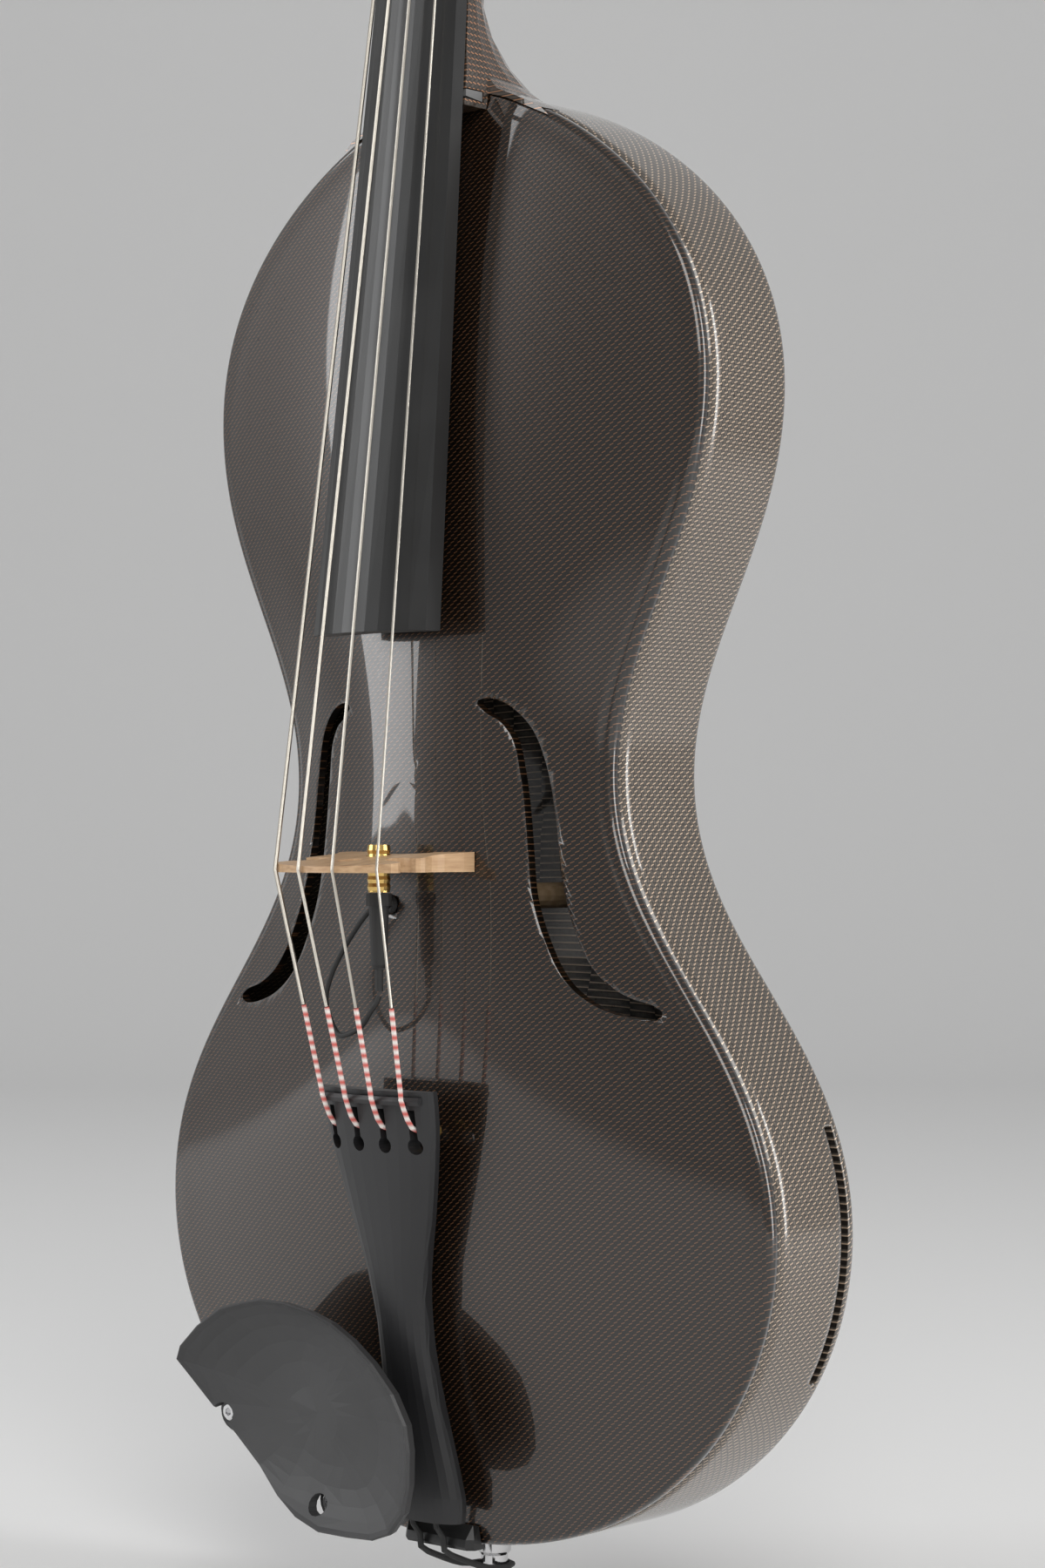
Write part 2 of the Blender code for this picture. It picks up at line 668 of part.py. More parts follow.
def make_scroll():
    """A volute whose rim winds in and stands further out with each turn, closed at its eye."""
    per_turn = 20
    count = int(per_turn * SCROLL_TURNS)
    tighten = math.log(SCROLL_RADIUS / SCROLL_EYE) / count
    start = math.radians(-47.0)
    verts, edge, floor = [], {}, {}
    for side in (-1, 1):
        for i in range(count + per_turn):
            k = min(i, count)
            angle = start + 2 * math.pi * i / per_turn
            radius = SCROLL_RADIUS * math.exp(-tighten * k)
            out = SCROLL_NARROW + (SCROLL_WIDE - SCROLL_NARROW) * k / count
            y = SCROLL_Y + radius * math.cos(angle)
            z = NUT_Z + SCROLL_RISE + radius * math.sin(angle)
            edge[side, i] = len(verts)
            verts.append((side * out, y, z))
        edge[side, count + per_turn] = edge[side, count]
        for i in range(count + 1):
            k = min(i + per_turn, count)
            angle = start + 2 * math.pi * i / per_turn
            radius = SCROLL_RADIUS * math.exp(-tighten * k) + 0.4
            out = SCROLL_NARROW + (SCROLL_WIDE - SCROLL_NARROW) * i / count - 2.2
            y = SCROLL_Y + radius * math.cos(angle)
            z = NUT_Z + SCROLL_RISE + radius * math.sin(angle)
            floor[side, i] = len(verts)
            verts.append((side * out, y, z))
    faces = []
    for side in (-1, 1):
        def wind(face):
            faces.append(face if side > 0 else tuple(reversed(face)))
        for i in range(count):
            wind((edge[side, i], edge[side, i + 1], floor[side, i + 1], floor[side, i]))
            wind((floor[side, i], floor[side, i + 1], edge[side, i + per_turn + 1], edge[side, i + per_turn]))
        wind(tuple(edge[side, count + i] for i in range(per_turn)))
    for i in range(per_turn):
        faces.append((edge[-1, i], edge[-1, i + 1], edge[1, i + 1], edge[1, i]))
    faces.append((edge[1, 0], floor[1, 0], edge[1, per_turn], edge[-1, per_turn], floor[-1, 0], edge[-1, 0]))
    return verts, faces


neck = make_neck()
scroll = solid("cut_scroll", *make_scroll(), CARBON)
shape_with(neck, scroll, "UNION")
shape_with(neck, body_volume("cut_body_for_heel", GAP))
HEEL_LEDGE_Z = BODY_TOP - SHIM_DROP - SHIM_BACK - 2 * GAP - HEEL_LEDGE
EDGE_Y = -HALF_DEPTH - GAP
FAR = 60.0
for side, word in ((-1, "bass"), (1, "treble")):
    inner, outer = sorted((side * HEEL_FRONT / 2, side * FAR))
    trim = box("cut_heel_side_" + word, (inner, -FAR, BODY_TOP - FAR), (outer, EDGE_Y, BODY_TOP + 3.5), CARBON)
    shape_with(neck, trim)
shape_with(neck, box("cut_heel_under", (-FAR, -FAR, BODY_TOP - FAR), (FAR, EDGE_Y, HEEL_LEDGE_Z), CARBON))


def wedge(name, half, front, back, top, thin, thick, look):
    """A plate whose underside slopes, thin at the front."""
    low_front, low_back = top - thin, top - thick
    rings = []
    for x in (-half, half):
        rings.append(np.array([(x, front, low_front), (x, back, low_back), (x, back, top), (x, front, top)]))
    return solid(name, *skin(rings), look)


SHIM_TOP = BODY_TOP - SHIM_DROP
SHIM_Y = seat_y(SHIM_TOP) + 0.1
shape_with(neck, wedge("cut_shim", FAR, SHIM_Y - 6, SHIM_Y + SHIM_DEPTH + GAP, SHIM_TOP + GAP,
                       SHIM_FRONT + 2 * GAP, SHIM_BACK + 2 * GAP, CARBON))
wedge("neck_shim", HEEL_FRONT / 2 - 0.2, SHIM_Y + GAP, SHIM_Y + SHIM_DEPTH, SHIM_TOP, SHIM_FRONT, SHIM_BACK, SHIM_GREY)


def make_peg_slot():
    """The pegbox's hollow, open in front and kept off its walls and its floor."""
    rings = []
    for rise in (9.0, 26.0, 50.0, 75.0, 84.0):
        z = NUT_Z + rise
        half = pegbox_value(rise, 3) - PEGBOX_WALL
        floor = pegbox_value(rise, 2) - PEGBOX_FLOOR - (4.0 if rise < 10 or rise > 80 else 0.0)
        front = pegbox_value(rise, 1) - 12.0
        rings.append(np.array([(-half, front, z), (half, front, z), (half, floor, z), (-half, floor, z)]))
    return solid("cut_peg_slot", *skin(rings), CARBON)


shape_with(neck, make_peg_slot())


def peg_radius(x, side):
    """Radius of a peg's shank, thinner towards its far end."""
    return PEG_RADIUS - PEG_TAPER * (0.5 - side * x / 24.0)


def make_peg(name, rise, depth, side):
    """A peg with its shank across the pegbox and its thumb piece outside."""
    wall = pegbox_value(rise, 3)
    head = wall + PEG_NECK
    rows = [(-wall - PEG_POKE, 1.0, 1.0)] + [(x, 1.0, 1.0) for x in (-wall / 2, wall / 2)]
    sizes = [(x, peg_radius(side * x, side), peg_radius(side * x, side)) for x, _, _ in rows]
    neck_radius = peg_radius(side * head, side)
    sizes += [(wall + 2.0, neck_radius, neck_radius), (wall + 3.0, 6.0, 6.0), (wall + 5.0, 6.2, 6.2),
              (wall + 6.5, 4.2, 4.2), (head, 3.6, 4.0)]
    for share, wide, thick in ((0.2, 0.72, 0.62), (0.42, 1.0, 0.9), (0.65, 0.98, 1.0), (0.86, 0.74, 0.8), (1.0, 0.3, 0.36)):
        sizes.append((head + PEG_HEAD_LENGTH * share, PEG_HEAD_THICK / 2 * thick, PEG_HEAD_WIDTH / 2 * wide))
    ring = circle(14, 1.0)
    rings = []
    for x, ry, rz in sizes:
        rings.append(np.stack([np.full(14, side * x), ry * ring[:, 0], rz * ring[:, 1]], axis=1))
    peg = solid(name, *skin(rings), EBONY)
    peg.location = (0.0, depth * MM, (NUT_Z + rise) * MM)
    return peg


def tangent_point(start, centre, radius):
    """Where a straight line from a point touches the strings' side of a circle, as y and z."""
    away = np.array(start) - np.array(centre)
    far = np.linalg.norm(away)
    turn = math.acos(radius / far)
    base = math.atan2(away[1], away[0])
    spots = [np.array(centre) + radius * np.array([math.cos(base + s * turn), math.sin(base + s * turn)]) for s in (1, -1)]
    return min(spots, key=lambda p: p[0])


STRING_SHARES = (-1.0, -1.0 / 3, 1.0 / 3, 1.0)


def winding_start(centre, radius, start):
    """Where a string meets its winding, the way it comes from, and the angle there."""
    spot = tangent_point(start, centre, radius)
    reach = np.array(start) - spot
    reach /= np.linalg.norm(reach)
    begin = math.atan2(spot[1] - centre[1], spot[0] - centre[0])
    return spot, reach, begin


windings = {}
least_gap = []
for index, name in enumerate(STRING_NAMES):
    rise, depth, side = PEG_RISE[index], PEG_DEPTH[index], PEG_SIDE[index]
    make_peg("peg_" + name, rise, depth, side)
    hole_radius = peg_radius(side * pegbox_value(rise, 3), side) + GAP
    thin_radius = peg_radius(-side * pegbox_value(rise, 3), side) + GAP
    profile = [(-side * 20.0, thin_radius), (side * 20.0, hole_radius)] if side > 0 else [(-20.0, hole_radius), (20.0, thin_radius)]
    hole = turned("cut_peg_" + name, profile, (0.0, depth, NUT_Z + rise), "X", EBONY)
    shape_with(neck, hole)
    thick = STRING_DIAMETERS[index]
    pitch = thick + TURN_CLEARANCE
    x_nut = STRING_SHARES[index] * STRING_SPREAD_NUT / 2
    room = pegbox_value(rise, 3) - PEGBOX_WALL - thick / 2 - 2 * GAP
    x_from = math.copysign(min(abs(x_nut), room), x_nut)
    step_way = -math.copysign(1.0, x_from)
    centre = (depth, NUT_Z + rise)
    radius = PEG_RADIUS + GAP + thick / 2
    start = (NUT_STRING_Y, NUT_Z + NUT_LENGTH)
    spot, reach, begin = winding_start(centre, radius, start)
    points = [(x_from, *(spot + reach * thick))]
    count = 24 * WINDING_TURNS
    for i in range(count + 1):
        angle = begin - 2 * math.pi * i / 24
        x = x_from + step_way * pitch * i / 24
        points.append((x, centre[0] + radius * math.cos(angle), centre[1] + radius * math.sin(angle)))
    windings[name] = points
    loops = np.array(points[1:])
    apart = np.linalg.norm(loops[:, None] - loops[None], axis=2)
    later = np.abs(np.arange(len(loops))[:, None] - np.arange(len(loops))[None]) > 12
    least_gap.append(apart[later].min() - thick)
print("least gap between the turns of a winding, mm:", round(min(least_gap), 3))

# Fingerboard, nut and strings


def make_fingerboard():
    rings = []
    for share in (0.0, 0.2, 0.4, 0.6, 0.8, 1.0):
        z = NUT_Z - BOARD_REACH * share - (GAP if share == 0 else 0)
        half = board_half_width(z)
        edge = BOARD_EDGE_NUT + (BOARD_EDGE_END - BOARD_EDGE_NUT) * share
        under = seat_y(z) - GAP
        x = np.linspace(half, -half, 11)
        crown = np.sqrt(BOARD_RADIUS ** 2 - x ** 2) - math.sqrt(BOARD_RADIUS ** 2 - half ** 2)
        top = np.stack([x, under - edge - crown, np.full(11, z)], axis=1)
        free = z < BODY_TOP - 20.0
        hollow = BOARD_HOLLOW if free else 0.0
        low = [(-half, under, z), (-half * 0.7, under - 0.3 * hollow, z), (0.0, under - hollow, z),
               (half * 0.7, under - 0.3 * hollow, z), (half, under, z)]
        rings.append(np.concatenate([top, low]))
    return solid("fingerboard", *skin(rings), EBONY)


make_fingerboard()


def string_x(share, z):
    """How far a string is from the middle between the nut and the bridge."""
    along = (NUT_Z - z) / (NUT_Z - BRIDGE_Z)
    return share * (STRING_SPREAD_NUT + (STRING_SPREAD_BRIDGE - STRING_SPREAD_NUT) * along) / 2


def crown_drop(x, radius, half):
    """Height of a crowned top at x over its height at its outer strings."""
    return math.sqrt(radius ** 2 - x ** 2) - math.sqrt(radius ** 2 - half ** 2)


BRIDGE_HALF = STRING_SPREAD_BRIDGE / 2
NUT_HALF = STRING_SPREAD_NUT / 2


def bridge_string_y(x):
    return BRIDGE_STRING_Y - crown_drop(x, BRIDGE_RADIUS, BRIDGE_HALF)


def nut_string_y(x):
    return NUT_STRING_Y - crown_drop(x, BOARD_RADIUS, NUT_HALF)


THICKEST = max(STRING_DIAMETERS)


def make_nut():
    half = BOARD_WIDTH_NUT / 2
    x = np.linspace(half, -half, 9)
    top = np.array([nut_string_y(min(abs(v), NUT_HALF)) + THICKEST / 2 + GAP for v in x])
    top = top + np.clip(np.abs(x) - NUT_HALF, 0, None) * 0.35
    rings = []
    for z, drop in ((NUT_Z, 0.0), (NUT_Z + NUT_LENGTH - 0.8, 0.4), (NUT_Z + NUT_LENGTH, 1.2)):
        seat = min(seat_y(z), pegbox_value(7.0, 1)) - GAP
        upper = np.stack([x, top + drop, np.full(9, z)], axis=1)
        rings.append(np.concatenate([upper, [(-half, seat, z), (half, seat, z)]]))
    return solid("nut", *skin(rings), EBONY)


make_nut()

# Bridge

# Half of the bridge from its shoulder to the arch between its feet: x and y
BRIDGE_SIDE = ((23.4, -62.4), (21.8, -60.0), (17.0, -58.4), (12.8, -56.6), (11.4, -54.0), (13.0, -51.9),
               (17.4, -51.8), (21.0, -53.2), (22.0, -50.6), (20.2, -46.2), (20.6, -41.6))
BRIDGE_ARCH = ((11.4, -38.6), (9.2, -40.6), (5.0, -41.6), (0.0, -41.9))
FOOT_HEIGHT = 4.6
HEART_Y = -57.0


def bridge_loop():
    """The bridge's face from the middle of its crown round the treble side and back."""
    crown_x = np.linspace(0.0, 22.4, 7)
    crown_y = [bridge_string_y(x) + THICKEST / 2 + GAP for x in crown_x]
    foot = BRIDGE_FOOT_SPREAD / 2
    side = smooth_run(BRIDGE_SIDE, 2)
    foot_x = np.linspace(foot, BRIDGE_LEG_INSIDE, 4)
    sole = np.array([max(front_y(x, BRIDGE_Z), front_y(x, BRIDGE_Z + BRIDGE_FOOT_THICK)) for x in foot_x])
    sole_y = np.array([min(front_y(x, BRIDGE_Z), front_y(x, BRIDGE_Z + BRIDGE_FOOT_THICK)) for x in foot_x]) - GAP
    right = [*zip(crown_x, crown_y), *map(tuple, side), (foot, sole[0] - FOOT_HEIGHT),
             *zip(foot_x, sole_y), *BRIDGE_ARCH]
    right = np.array(right)
    left = right[-2:0:-1] * np.array([-1.0, 1.0])
    return np.concatenate([right, left])


def make_bridge():
    """A face cut out with its holes, its back flat and its front sloping to the crown."""
    outline = bpy.data.curves.new("bridge_face", "CURVE")
    outline.dimensions = "2D"
    outline.fill_mode = "BOTH"
    outline.extrude = BRIDGE_FOOT_THICK / 2 * MM
    heart = circle(12, 3.3) * np.array([1.15, 1.0]) + np.array([0.0, HEART_Y])
    jack = circle(18, JACK_DIAMETER / 2 + THREAD_DEPTH + GAP) + np.array([0.0, JACK_Y])
    for loop in (bridge_loop(), heart, jack):
        line = outline.splines.new("POLY")
        line.points.add(len(loop) - 1)
        for point, (x, y) in zip(line.points, loop):
            point.co = (x * MM, y * MM, 0.0, 1.0)
        line.use_cyclic_u = True
    holder = bpy.data.objects.new("bridge_face", outline)
    bpy.context.scene.collection.objects.link(holder)
    bpy.context.view_layer.update()
    evaluated = holder.evaluated_get(bpy.context.evaluated_depsgraph_get())
    flat = bpy.data.meshes.new_from_object(evaluated)
    verts = [tuple(v.co) for v in flat.vertices]
    faces = [tuple(f.vertices) for f in flat.polygons]
    bpy.data.objects.remove(holder, do_unlink=True)
    key = {}
    order = []
    for v in verts:
        spot = tuple(round(c, 7) for c in v)
        order.append(key.setdefault(spot, len(key)))
    crown = bridge_string_y(0.0)
    sole = front_y(BRIDGE_HALF, BRIDGE_Z)
    placed = []
    for x, y, z in key:
        high = (sole - y / MM) / (sole - crown)
        thick = BRIDGE_FOOT_THICK + (BRIDGE_TOP_THICK - BRIDGE_FOOT_THICK) * min(1.0, max(0.0, high)) ** 1.3
        placed.append((x / MM, y / MM, BRIDGE_Z + (thick if z > 0 else 0.0)))
    kept = []
    for face in faces:
        face = [order[i] for i in face]
        if len(set(face)) == len(face):
            kept.append(tuple(face))
    return solid("bridge", placed, kept, MAPLE)


make_bridge()

# Tailpiece, its fret, gut and saddle

TAIL_HIGH_Z = BRIDGE_Z - TAIL_BELOW_BRIDGE
TAIL_LOW_Z = BODY_Z + TAIL_LOW_ABOVE_BODY
TAIL_LENGTH = TAIL_HIGH_Z - TAIL_LOW_Z


def tail_value(z, column):
    table = np.array(TAIL_SHAPE)
    return float(np.interp((z - TAIL_LOW_Z) / TAIL_LENGTH, table[:, 0], table[:, column]))


def tail_edge_y(z):
    """Height of the tailpiece's lower edges, which fall towards the saddle."""
    share = (z - TAIL_LOW_Z) / TAIL_LENGTH
    return TAIL_EDGE_LOW_Y + (TAIL_EDGE_HIGH_Y - TAIL_EDGE_LOW_Y) * share


def tail_crown_y(x, z):
    """The tailpiece's rounded upper surface."""
    half = tail_value(z, 1)
    share = min(1.0, abs(x) / half)
    return tail_edge_y(z) - 1.6 - TAIL_WALL * math.sqrt(max(0.0, 1 - share ** 2.4))


def make_tailpiece():
    rings = []
    for share, half in smooth_run(TAIL_SHAPE, 2):
        z = TAIL_LOW_Z + TAIL_LENGTH * share
        angle = np.linspace(0.0, math.pi, 13)
        x = half * np.cos(angle)
        top = np.array([tail_crown_y(v, z) for v in x])
        upper = np.stack([x, top, np.full(13, z)], axis=1)
        edge = tail_edge_y(z)
        low = [(-half, edge, z), (-half * 0.5, edge - 0.8, z), (half * 0.5, edge - 0.8, z), (half, edge, z)]
        rings.append(np.concatenate([upper, low]))
    return solid("tailpiece", *skin(rings), COMPOSITE)


tailpiece = make_tailpiece()
KEYHOLE_Z = TAIL_HIGH_Z - 15.0
FRET_Z = TAIL_HIGH_Z - 2.6
for index, share in enumerate(STRING_SHARES):
    x = share * STRING_SPREAD_TAIL / 2
    flat = circle(14, TAIL_KEYHOLE / 2) + np.array([x, KEYHOLE_Z])
    narrow = SILK_DIAMETER / 2 + GAP + 0.1
    key = prism("cut_keyhole_" + STRING_NAMES[index], flat, -80.0, 0.0, COMPOSITE)
    shape_with(tailpiece, key)
    run = box("cut_string_slot_" + STRING_NAMES[index], (x - narrow, -80.0, KEYHOLE_Z), (x + narrow, 0.0, KEYHOLE_Z + 10.0), COMPOSITE)
    shape_with(tailpiece, run)


def make_tail_fret():
    x = np.linspace(-1.0, 1.0, 11) * (tail_value(FRET_Z, 1) - 2.0)
    rings = []
    for v in x:
        half = TAIL_FRET_THICK / 2
        sit = tail_crown_y(v, FRET_Z + half) - GAP
        rings.append(np.array([(v, sit, FRET_Z - half), (v, sit, FRET_Z + half),
                               (v, sit - TAIL_FRET_HEIGHT * 0.6, FRET_Z + half),
                               (v, sit - TAIL_FRET_HEIGHT, FRET_Z),
                               (v, sit - TAIL_FRET_HEIGHT * 0.6, FRET_Z - half)]))
    return solid("tailpiece_fret", *skin(rings), COMPOSITE)


make_tail_fret()


def fret_top_y(x):
    return tail_crown_y(x, FRET_Z) - GAP - TAIL_FRET_HEIGHT


for index, name in enumerate(STRING_NAMES):
    share = STRING_SHARES[index]
    thick = STRING_DIAMETERS[index]
    x_bridge = string_x(share, BRIDGE_Z)
    x_tail = share * STRING_SPREAD_TAIL / 2
    over_fret = np.array([x_tail, fret_top_y(x_tail) - GAP - SILK_DIAMETER / 2, FRET_Z])
    on_bridge = np.array([x_bridge, bridge_string_y(x_bridge), BRIDGE_Z + BRIDGE_TOP_THICK / 2])
    way = (on_bridge - over_fret) / np.linalg.norm(on_bridge - over_fret)
    silk_end = over_fret + way * (SILK_LENGTH - 5.0)
    x_nut = string_x(share, NUT_Z)
    on_nut = np.array([x_nut, nut_string_y(x_nut), NUT_Z])
    off_nut = np.array([x_nut, nut_string_y(x_nut) + 0.2, NUT_Z + NUT_LENGTH])
    tube("string_" + name, [silk_end + way * GAP, on_bridge, on_nut, off_nut, *windings[name]], thick, STEEL, 1)
    ball_y = tail_edge_y(KEYHOLE_Z + 4.0) + BALL_DIAMETER / 2 - 0.6
    dip = np.array([x_tail, tail_crown_y(x_tail, KEYHOLE_Z + 5.5), KEYHOLE_Z + 5.2])
    ball = np.array([x_tail, ball_y, KEYHOLE_Z + 4.0])
    silk_route = smooth_run([silk_end, over_fret + way * 3.0, over_fret, dip, ball], 3)
    tube("silk_" + name, silk_route, SILK_DIAMETER, SILK)
    turned("ball_" + name, ((-1.6, BALL_DIAMETER / 2), (1.6, BALL_DIAMETER / 2)),
           ball + np.array([0.0, BALL_DIAMETER / 2 + GAP, 0.0]), "X", BRASS, 12)

# End pin, saddle and tailgut

COLLAR_Z = BODY_Z - GAP - PIN_FLANGE_THICK
WAIST_HIGH = COLLAR_Z - 2 * PIN_COLLAR - 1.0
WAIST_LOW = WAIST_HIGH - 6.0
WAIST_RADIUS = PIN_WAIST_DIAMETER / 2
FOOT_RADIUS = PIN_FOOT_DIAMETER / 2
FLANGE_RADIUS = PIN_FLANGE_DIAMETER / 2
SHANK_RADIUS = PIN_SHANK_DIAMETER / 2
AXIS = (0.0, 0.0, 0.0)
endpin = turned("endpin_flange", ((0.0, FOOT_RADIUS), (2.2, FOOT_RADIUS), (4.4, 5.0), (WAIST_LOW, WAIST_RADIUS),
                                  (WAIST_HIGH, WAIST_RADIUS), (WAIST_HIGH + 1.0, 4.7), (COLLAR_Z, 4.9),
                                  (COLLAR_Z + 0.01, FLANGE_RADIUS), (COLLAR_Z + PIN_FLANGE_THICK, FLANGE_RADIUS)),
                AXIS, "Z", CHROME, 32)
shape_with(endpin, turned("cut_pin_bore", ((-1.0, PIN_BORE_DIAMETER / 2), (PIN_BORE_DEPTH, PIN_BORE_DIAMETER / 2)),
                          AXIS, "Z", CHROME, 24))
SHANK_END = BODY_Z + PIN_SHANK_LENGTH
turned("endpin_barrel", ((BODY_Z, SHANK_RADIUS), (SHANK_END, SHANK_RADIUS)), AXIS, "Z", BRASS, 24)
shank_hole = turned("cut_shank_hole", ((0.0, SHANK_RADIUS + GAP), (SHANK_END + 5.0, SHANK_RADIUS + GAP)),
                    AXIS, "Z", CHROME, 24)
shape_with(body_shell, shank_hole)
shape_with(bpy.data.objects["end_block"], shank_hole)
NUT_LOW = BODY_Z + LEDGE_WIDTH + BLOCK_LENGTH + GAP
NUT_RADIUS = PIN_NUT_ACROSS / math.sqrt(3.0)
endpin_nut = turned("endpin_nut", ((NUT_LOW, NUT_RADIUS), (NUT_LOW + PIN_NUT_THICK, NUT_RADIUS)), AXIS, "Z", BRASS, 6)
shape_with(endpin_nut, shank_hole)
TERMINAL_LOW = SHANK_END + GAP
TERMINAL_LENGTH = 6.0
turned("jack_terminal", ((TERMINAL_LOW, 3.0), (TERMINAL_LOW + TERMINAL_LENGTH, 2.2)), AXIS, "Z", RUBBER, 16)

SADDLE_FRONT = -HALF_DEPTH - SADDLE_HEIGHT - 1.6
SADDLE_LOW = BODY_Z - 0.6


def make_saddle():
    rings = []
    for x, drop in ((-1.0, 1.6), (-0.86, 0.0), (0.86, 0.0), (1.0, 1.6)):
        front = SADDLE_FRONT + drop
        x = x * SADDLE_WIDTH / 2
        rings.append(np.array([(x, -HALF_DEPTH + 1.0, SADDLE_LOW), (x, front + 0.7, SADDLE_LOW), (x, front, SADDLE_LOW + 0.9),
                               (x, front + 0.4, SADDLE_LOW + 3.0), (x, -HALF_DEPTH - 1.6, SADDLE_LOW + SADDLE_LENGTH + 1.6),
                               (x, -HALF_DEPTH + 1.0, SADDLE_LOW + SADDLE_LENGTH + 1.6)]))
    return solid("saddle", *skin(rings), EBONY)


shape_with(make_saddle(), body_volume("cut_body_for_saddle", GAP))

GUT_RADIUS = TAILGUT_DIAMETER / 2
GUT_X = TAILGUT_SPREAD / 2
GUT_OUT = SADDLE_FRONT - GAP - GUT_RADIUS
GUT_HOLE_Y = tail_edge_y(TAIL_LOW_Z) - 3.4
for side, word in ((-1, "bass"), (1, "treble")):
    hole = turned("cut_gut_hole_" + word, ((TAIL_LOW_Z - 5.0, GUT_RADIUS + GAP), (TAIL_LOW_Z + 7.0, GUT_RADIUS + GAP)),
                  (side * GUT_X, GUT_HOLE_Y, 0.0), "Z", COMPOSITE, 14)
    shape_with(tailpiece, hole)
ROUND_PIN = WAIST_RADIUS + GAP + GUT_RADIUS
PIN_LOOP_Z = (WAIST_LOW + WAIST_HIGH) / 2
half_way = [(GUT_X, GUT_HOLE_Y, TAIL_LOW_Z + 6.0), (GUT_X, GUT_HOLE_Y, TAIL_LOW_Z - 0.5),
            (GUT_X, GUT_OUT - 0.4, SADDLE_LOW + 3.4), (GUT_X, GUT_OUT - 0.1, SADDLE_LOW + 0.9),
            (GUT_X, GUT_OUT + 0.2, SADDLE_LOW - 0.5), (GUT_X + 0.1, GUT_OUT + 1.4, SADDLE_LOW - 1.6),
            (ROUND_PIN, -10.0, PIN_LOOP_Z + 1.5), (ROUND_PIN, -2.0, PIN_LOOP_Z)]
bend = [(ROUND_PIN * math.cos(a), ROUND_PIN * math.sin(a), PIN_LOOP_Z) for a in np.linspace(0.1, math.pi - 0.1, 9)]
route = half_way + bend + [(-x, y, z) for x, y, z in reversed(half_way)]
tube("tailgut", spaced(smooth_run(route, 4), 4.0), TAILGUT_DIAMETER, RUBBER)

# Pickup in the bridge, its plug and cable

JACK_LOW = BRIDGE_Z - JACK_BELOW_BRIDGE
threads = [(JACK_LOW, JACK_DIAMETER / 2)]
thread_pitch = (JACK_LENGTH - 1.0) / JACK_THREADS
for i in range(JACK_THREADS):
    for share, radius in ((0.0, 0.0), (0.5, THREAD_DEPTH)):
        threads.append((JACK_LOW + 0.5 + (i + share) * thread_pitch, JACK_DIAMETER / 2 + radius))
threads.append((JACK_LOW + JACK_LENGTH, JACK_DIAMETER / 2))
turned("pickup_jack", threads, (0.0, JACK_Y, 0.0), "Z", BRASS, 18)
PLUG_TOP = JACK_LOW - GAP
PLUG_LOW = PLUG_TOP - PLUG_COLLAR_LENGTH - PLUG_LENGTH + PLUG_COLLAR_LENGTH
turned("plug_body", ((PLUG_TOP, PLUG_COLLAR_DIAMETER / 2), (PLUG_TOP - PLUG_COLLAR_LENGTH, PLUG_COLLAR_DIAMETER / 2),
                     (PLUG_TOP - PLUG_COLLAR_LENGTH - 0.01, PLUG_BODY_DIAMETER / 2 + 0.6),
                     (PLUG_LOW + 1.0, PLUG_BODY_DIAMETER / 2), (PLUG_LOW, PLUG_BODY_DIAMETER / 2 - 0.6)),
       (0.0, JACK_Y, 0.0), "Z", RUBBER, 20)
BOOT_TOP = PLUG_LOW - GAP
BOOT_LOW = BOOT_TOP - BOOT_LENGTH
turned("plug_boot", ((BOOT_TOP, BOOT_DIAMETER / 2), (BOOT_LOW, BOOT_DIAMETER / 2 - 0.1)),
       (0.0, JACK_Y, 0.0), "Z", RUBBER, 14)
GROMMET_X = -5.2
GROMMET_Z = BRIDGE_Z - 9.1
GROMMET_Y = front_y(GROMMET_X, GROMMET_Z)
# The cable's loop: x, y and depth under its bridge end, from the boot to the grommet
CABLE_ROUTE = ((0.0, -46.0, 33.9), (-0.6, -46.6, 36.1), (-2.5, -47.0, 38.5), (-6.3, -46.5, 42.4),
               (-11.9, -46.0, 44.8), (-17.0, -45.0, 45.0), (-21.4, -44.0, 40.3), (-23.2, -43.5, 35.1),
               (-22.2, -42.5, 29.1), (-19.1, -41.7, 23.1), (-15.4, -41.4, 18.1), (-10.4, -41.8, 13.1),
               (-6.6, -41.4, 9.9))
loop_points = [(x, y, BRIDGE_Z - under) for x, y, under in CABLE_ROUTE]
inside = ((GROMMET_X, GROMMET_Y - 3.0, GROMMET_Z), (GROMMET_X, GROMMET_Y, GROMMET_Z),
          (GROMMET_X, GROMMET_Y + 4.0, GROMMET_Z), (-8.0, -20.0, BRIDGE_Z - 20.7),
          (-9.0, -8.0, BRIDGE_Z - 58.7), (-6.0, -2.0, TERMINAL_LOW + 47.7), (-1.0, 0.0, TERMINAL_LOW + 19.7))
end = (0.0, 0.0, TERMINAL_LOW + TERMINAL_LENGTH + GAP)
tube("pickup_cable", spaced(smooth_run((*loop_points, *inside, end), 6), 4.2), CABLE_DIAMETER, RUBBER, 2)
GROMMET_HOLE = CABLE_DIAMETER / 2 + 2 * GAP
GROMMET_NECK = GROMMET_HOLE + 0.8
where = (GROMMET_X, GROMMET_Y, GROMMET_Z)
grommet = turned("cable_grommet", ((-GAP - GROMMET_HEIGHT, GROMMET_DIAMETER / 2 - 0.5), (-GAP - 0.3, GROMMET_DIAMETER / 2),
                                   (-GAP, GROMMET_DIAMETER / 2), (-GAP + 0.01, GROMMET_NECK),
                                   (PLATE_WALL, GROMMET_NECK)), where, "Y", RUBBER, 16)
shape_with(grommet, turned("cut_grommet", ((-6.0, GROMMET_HOLE), (6.0, GROMMET_HOLE)), where, "Y", RUBBER, 12))
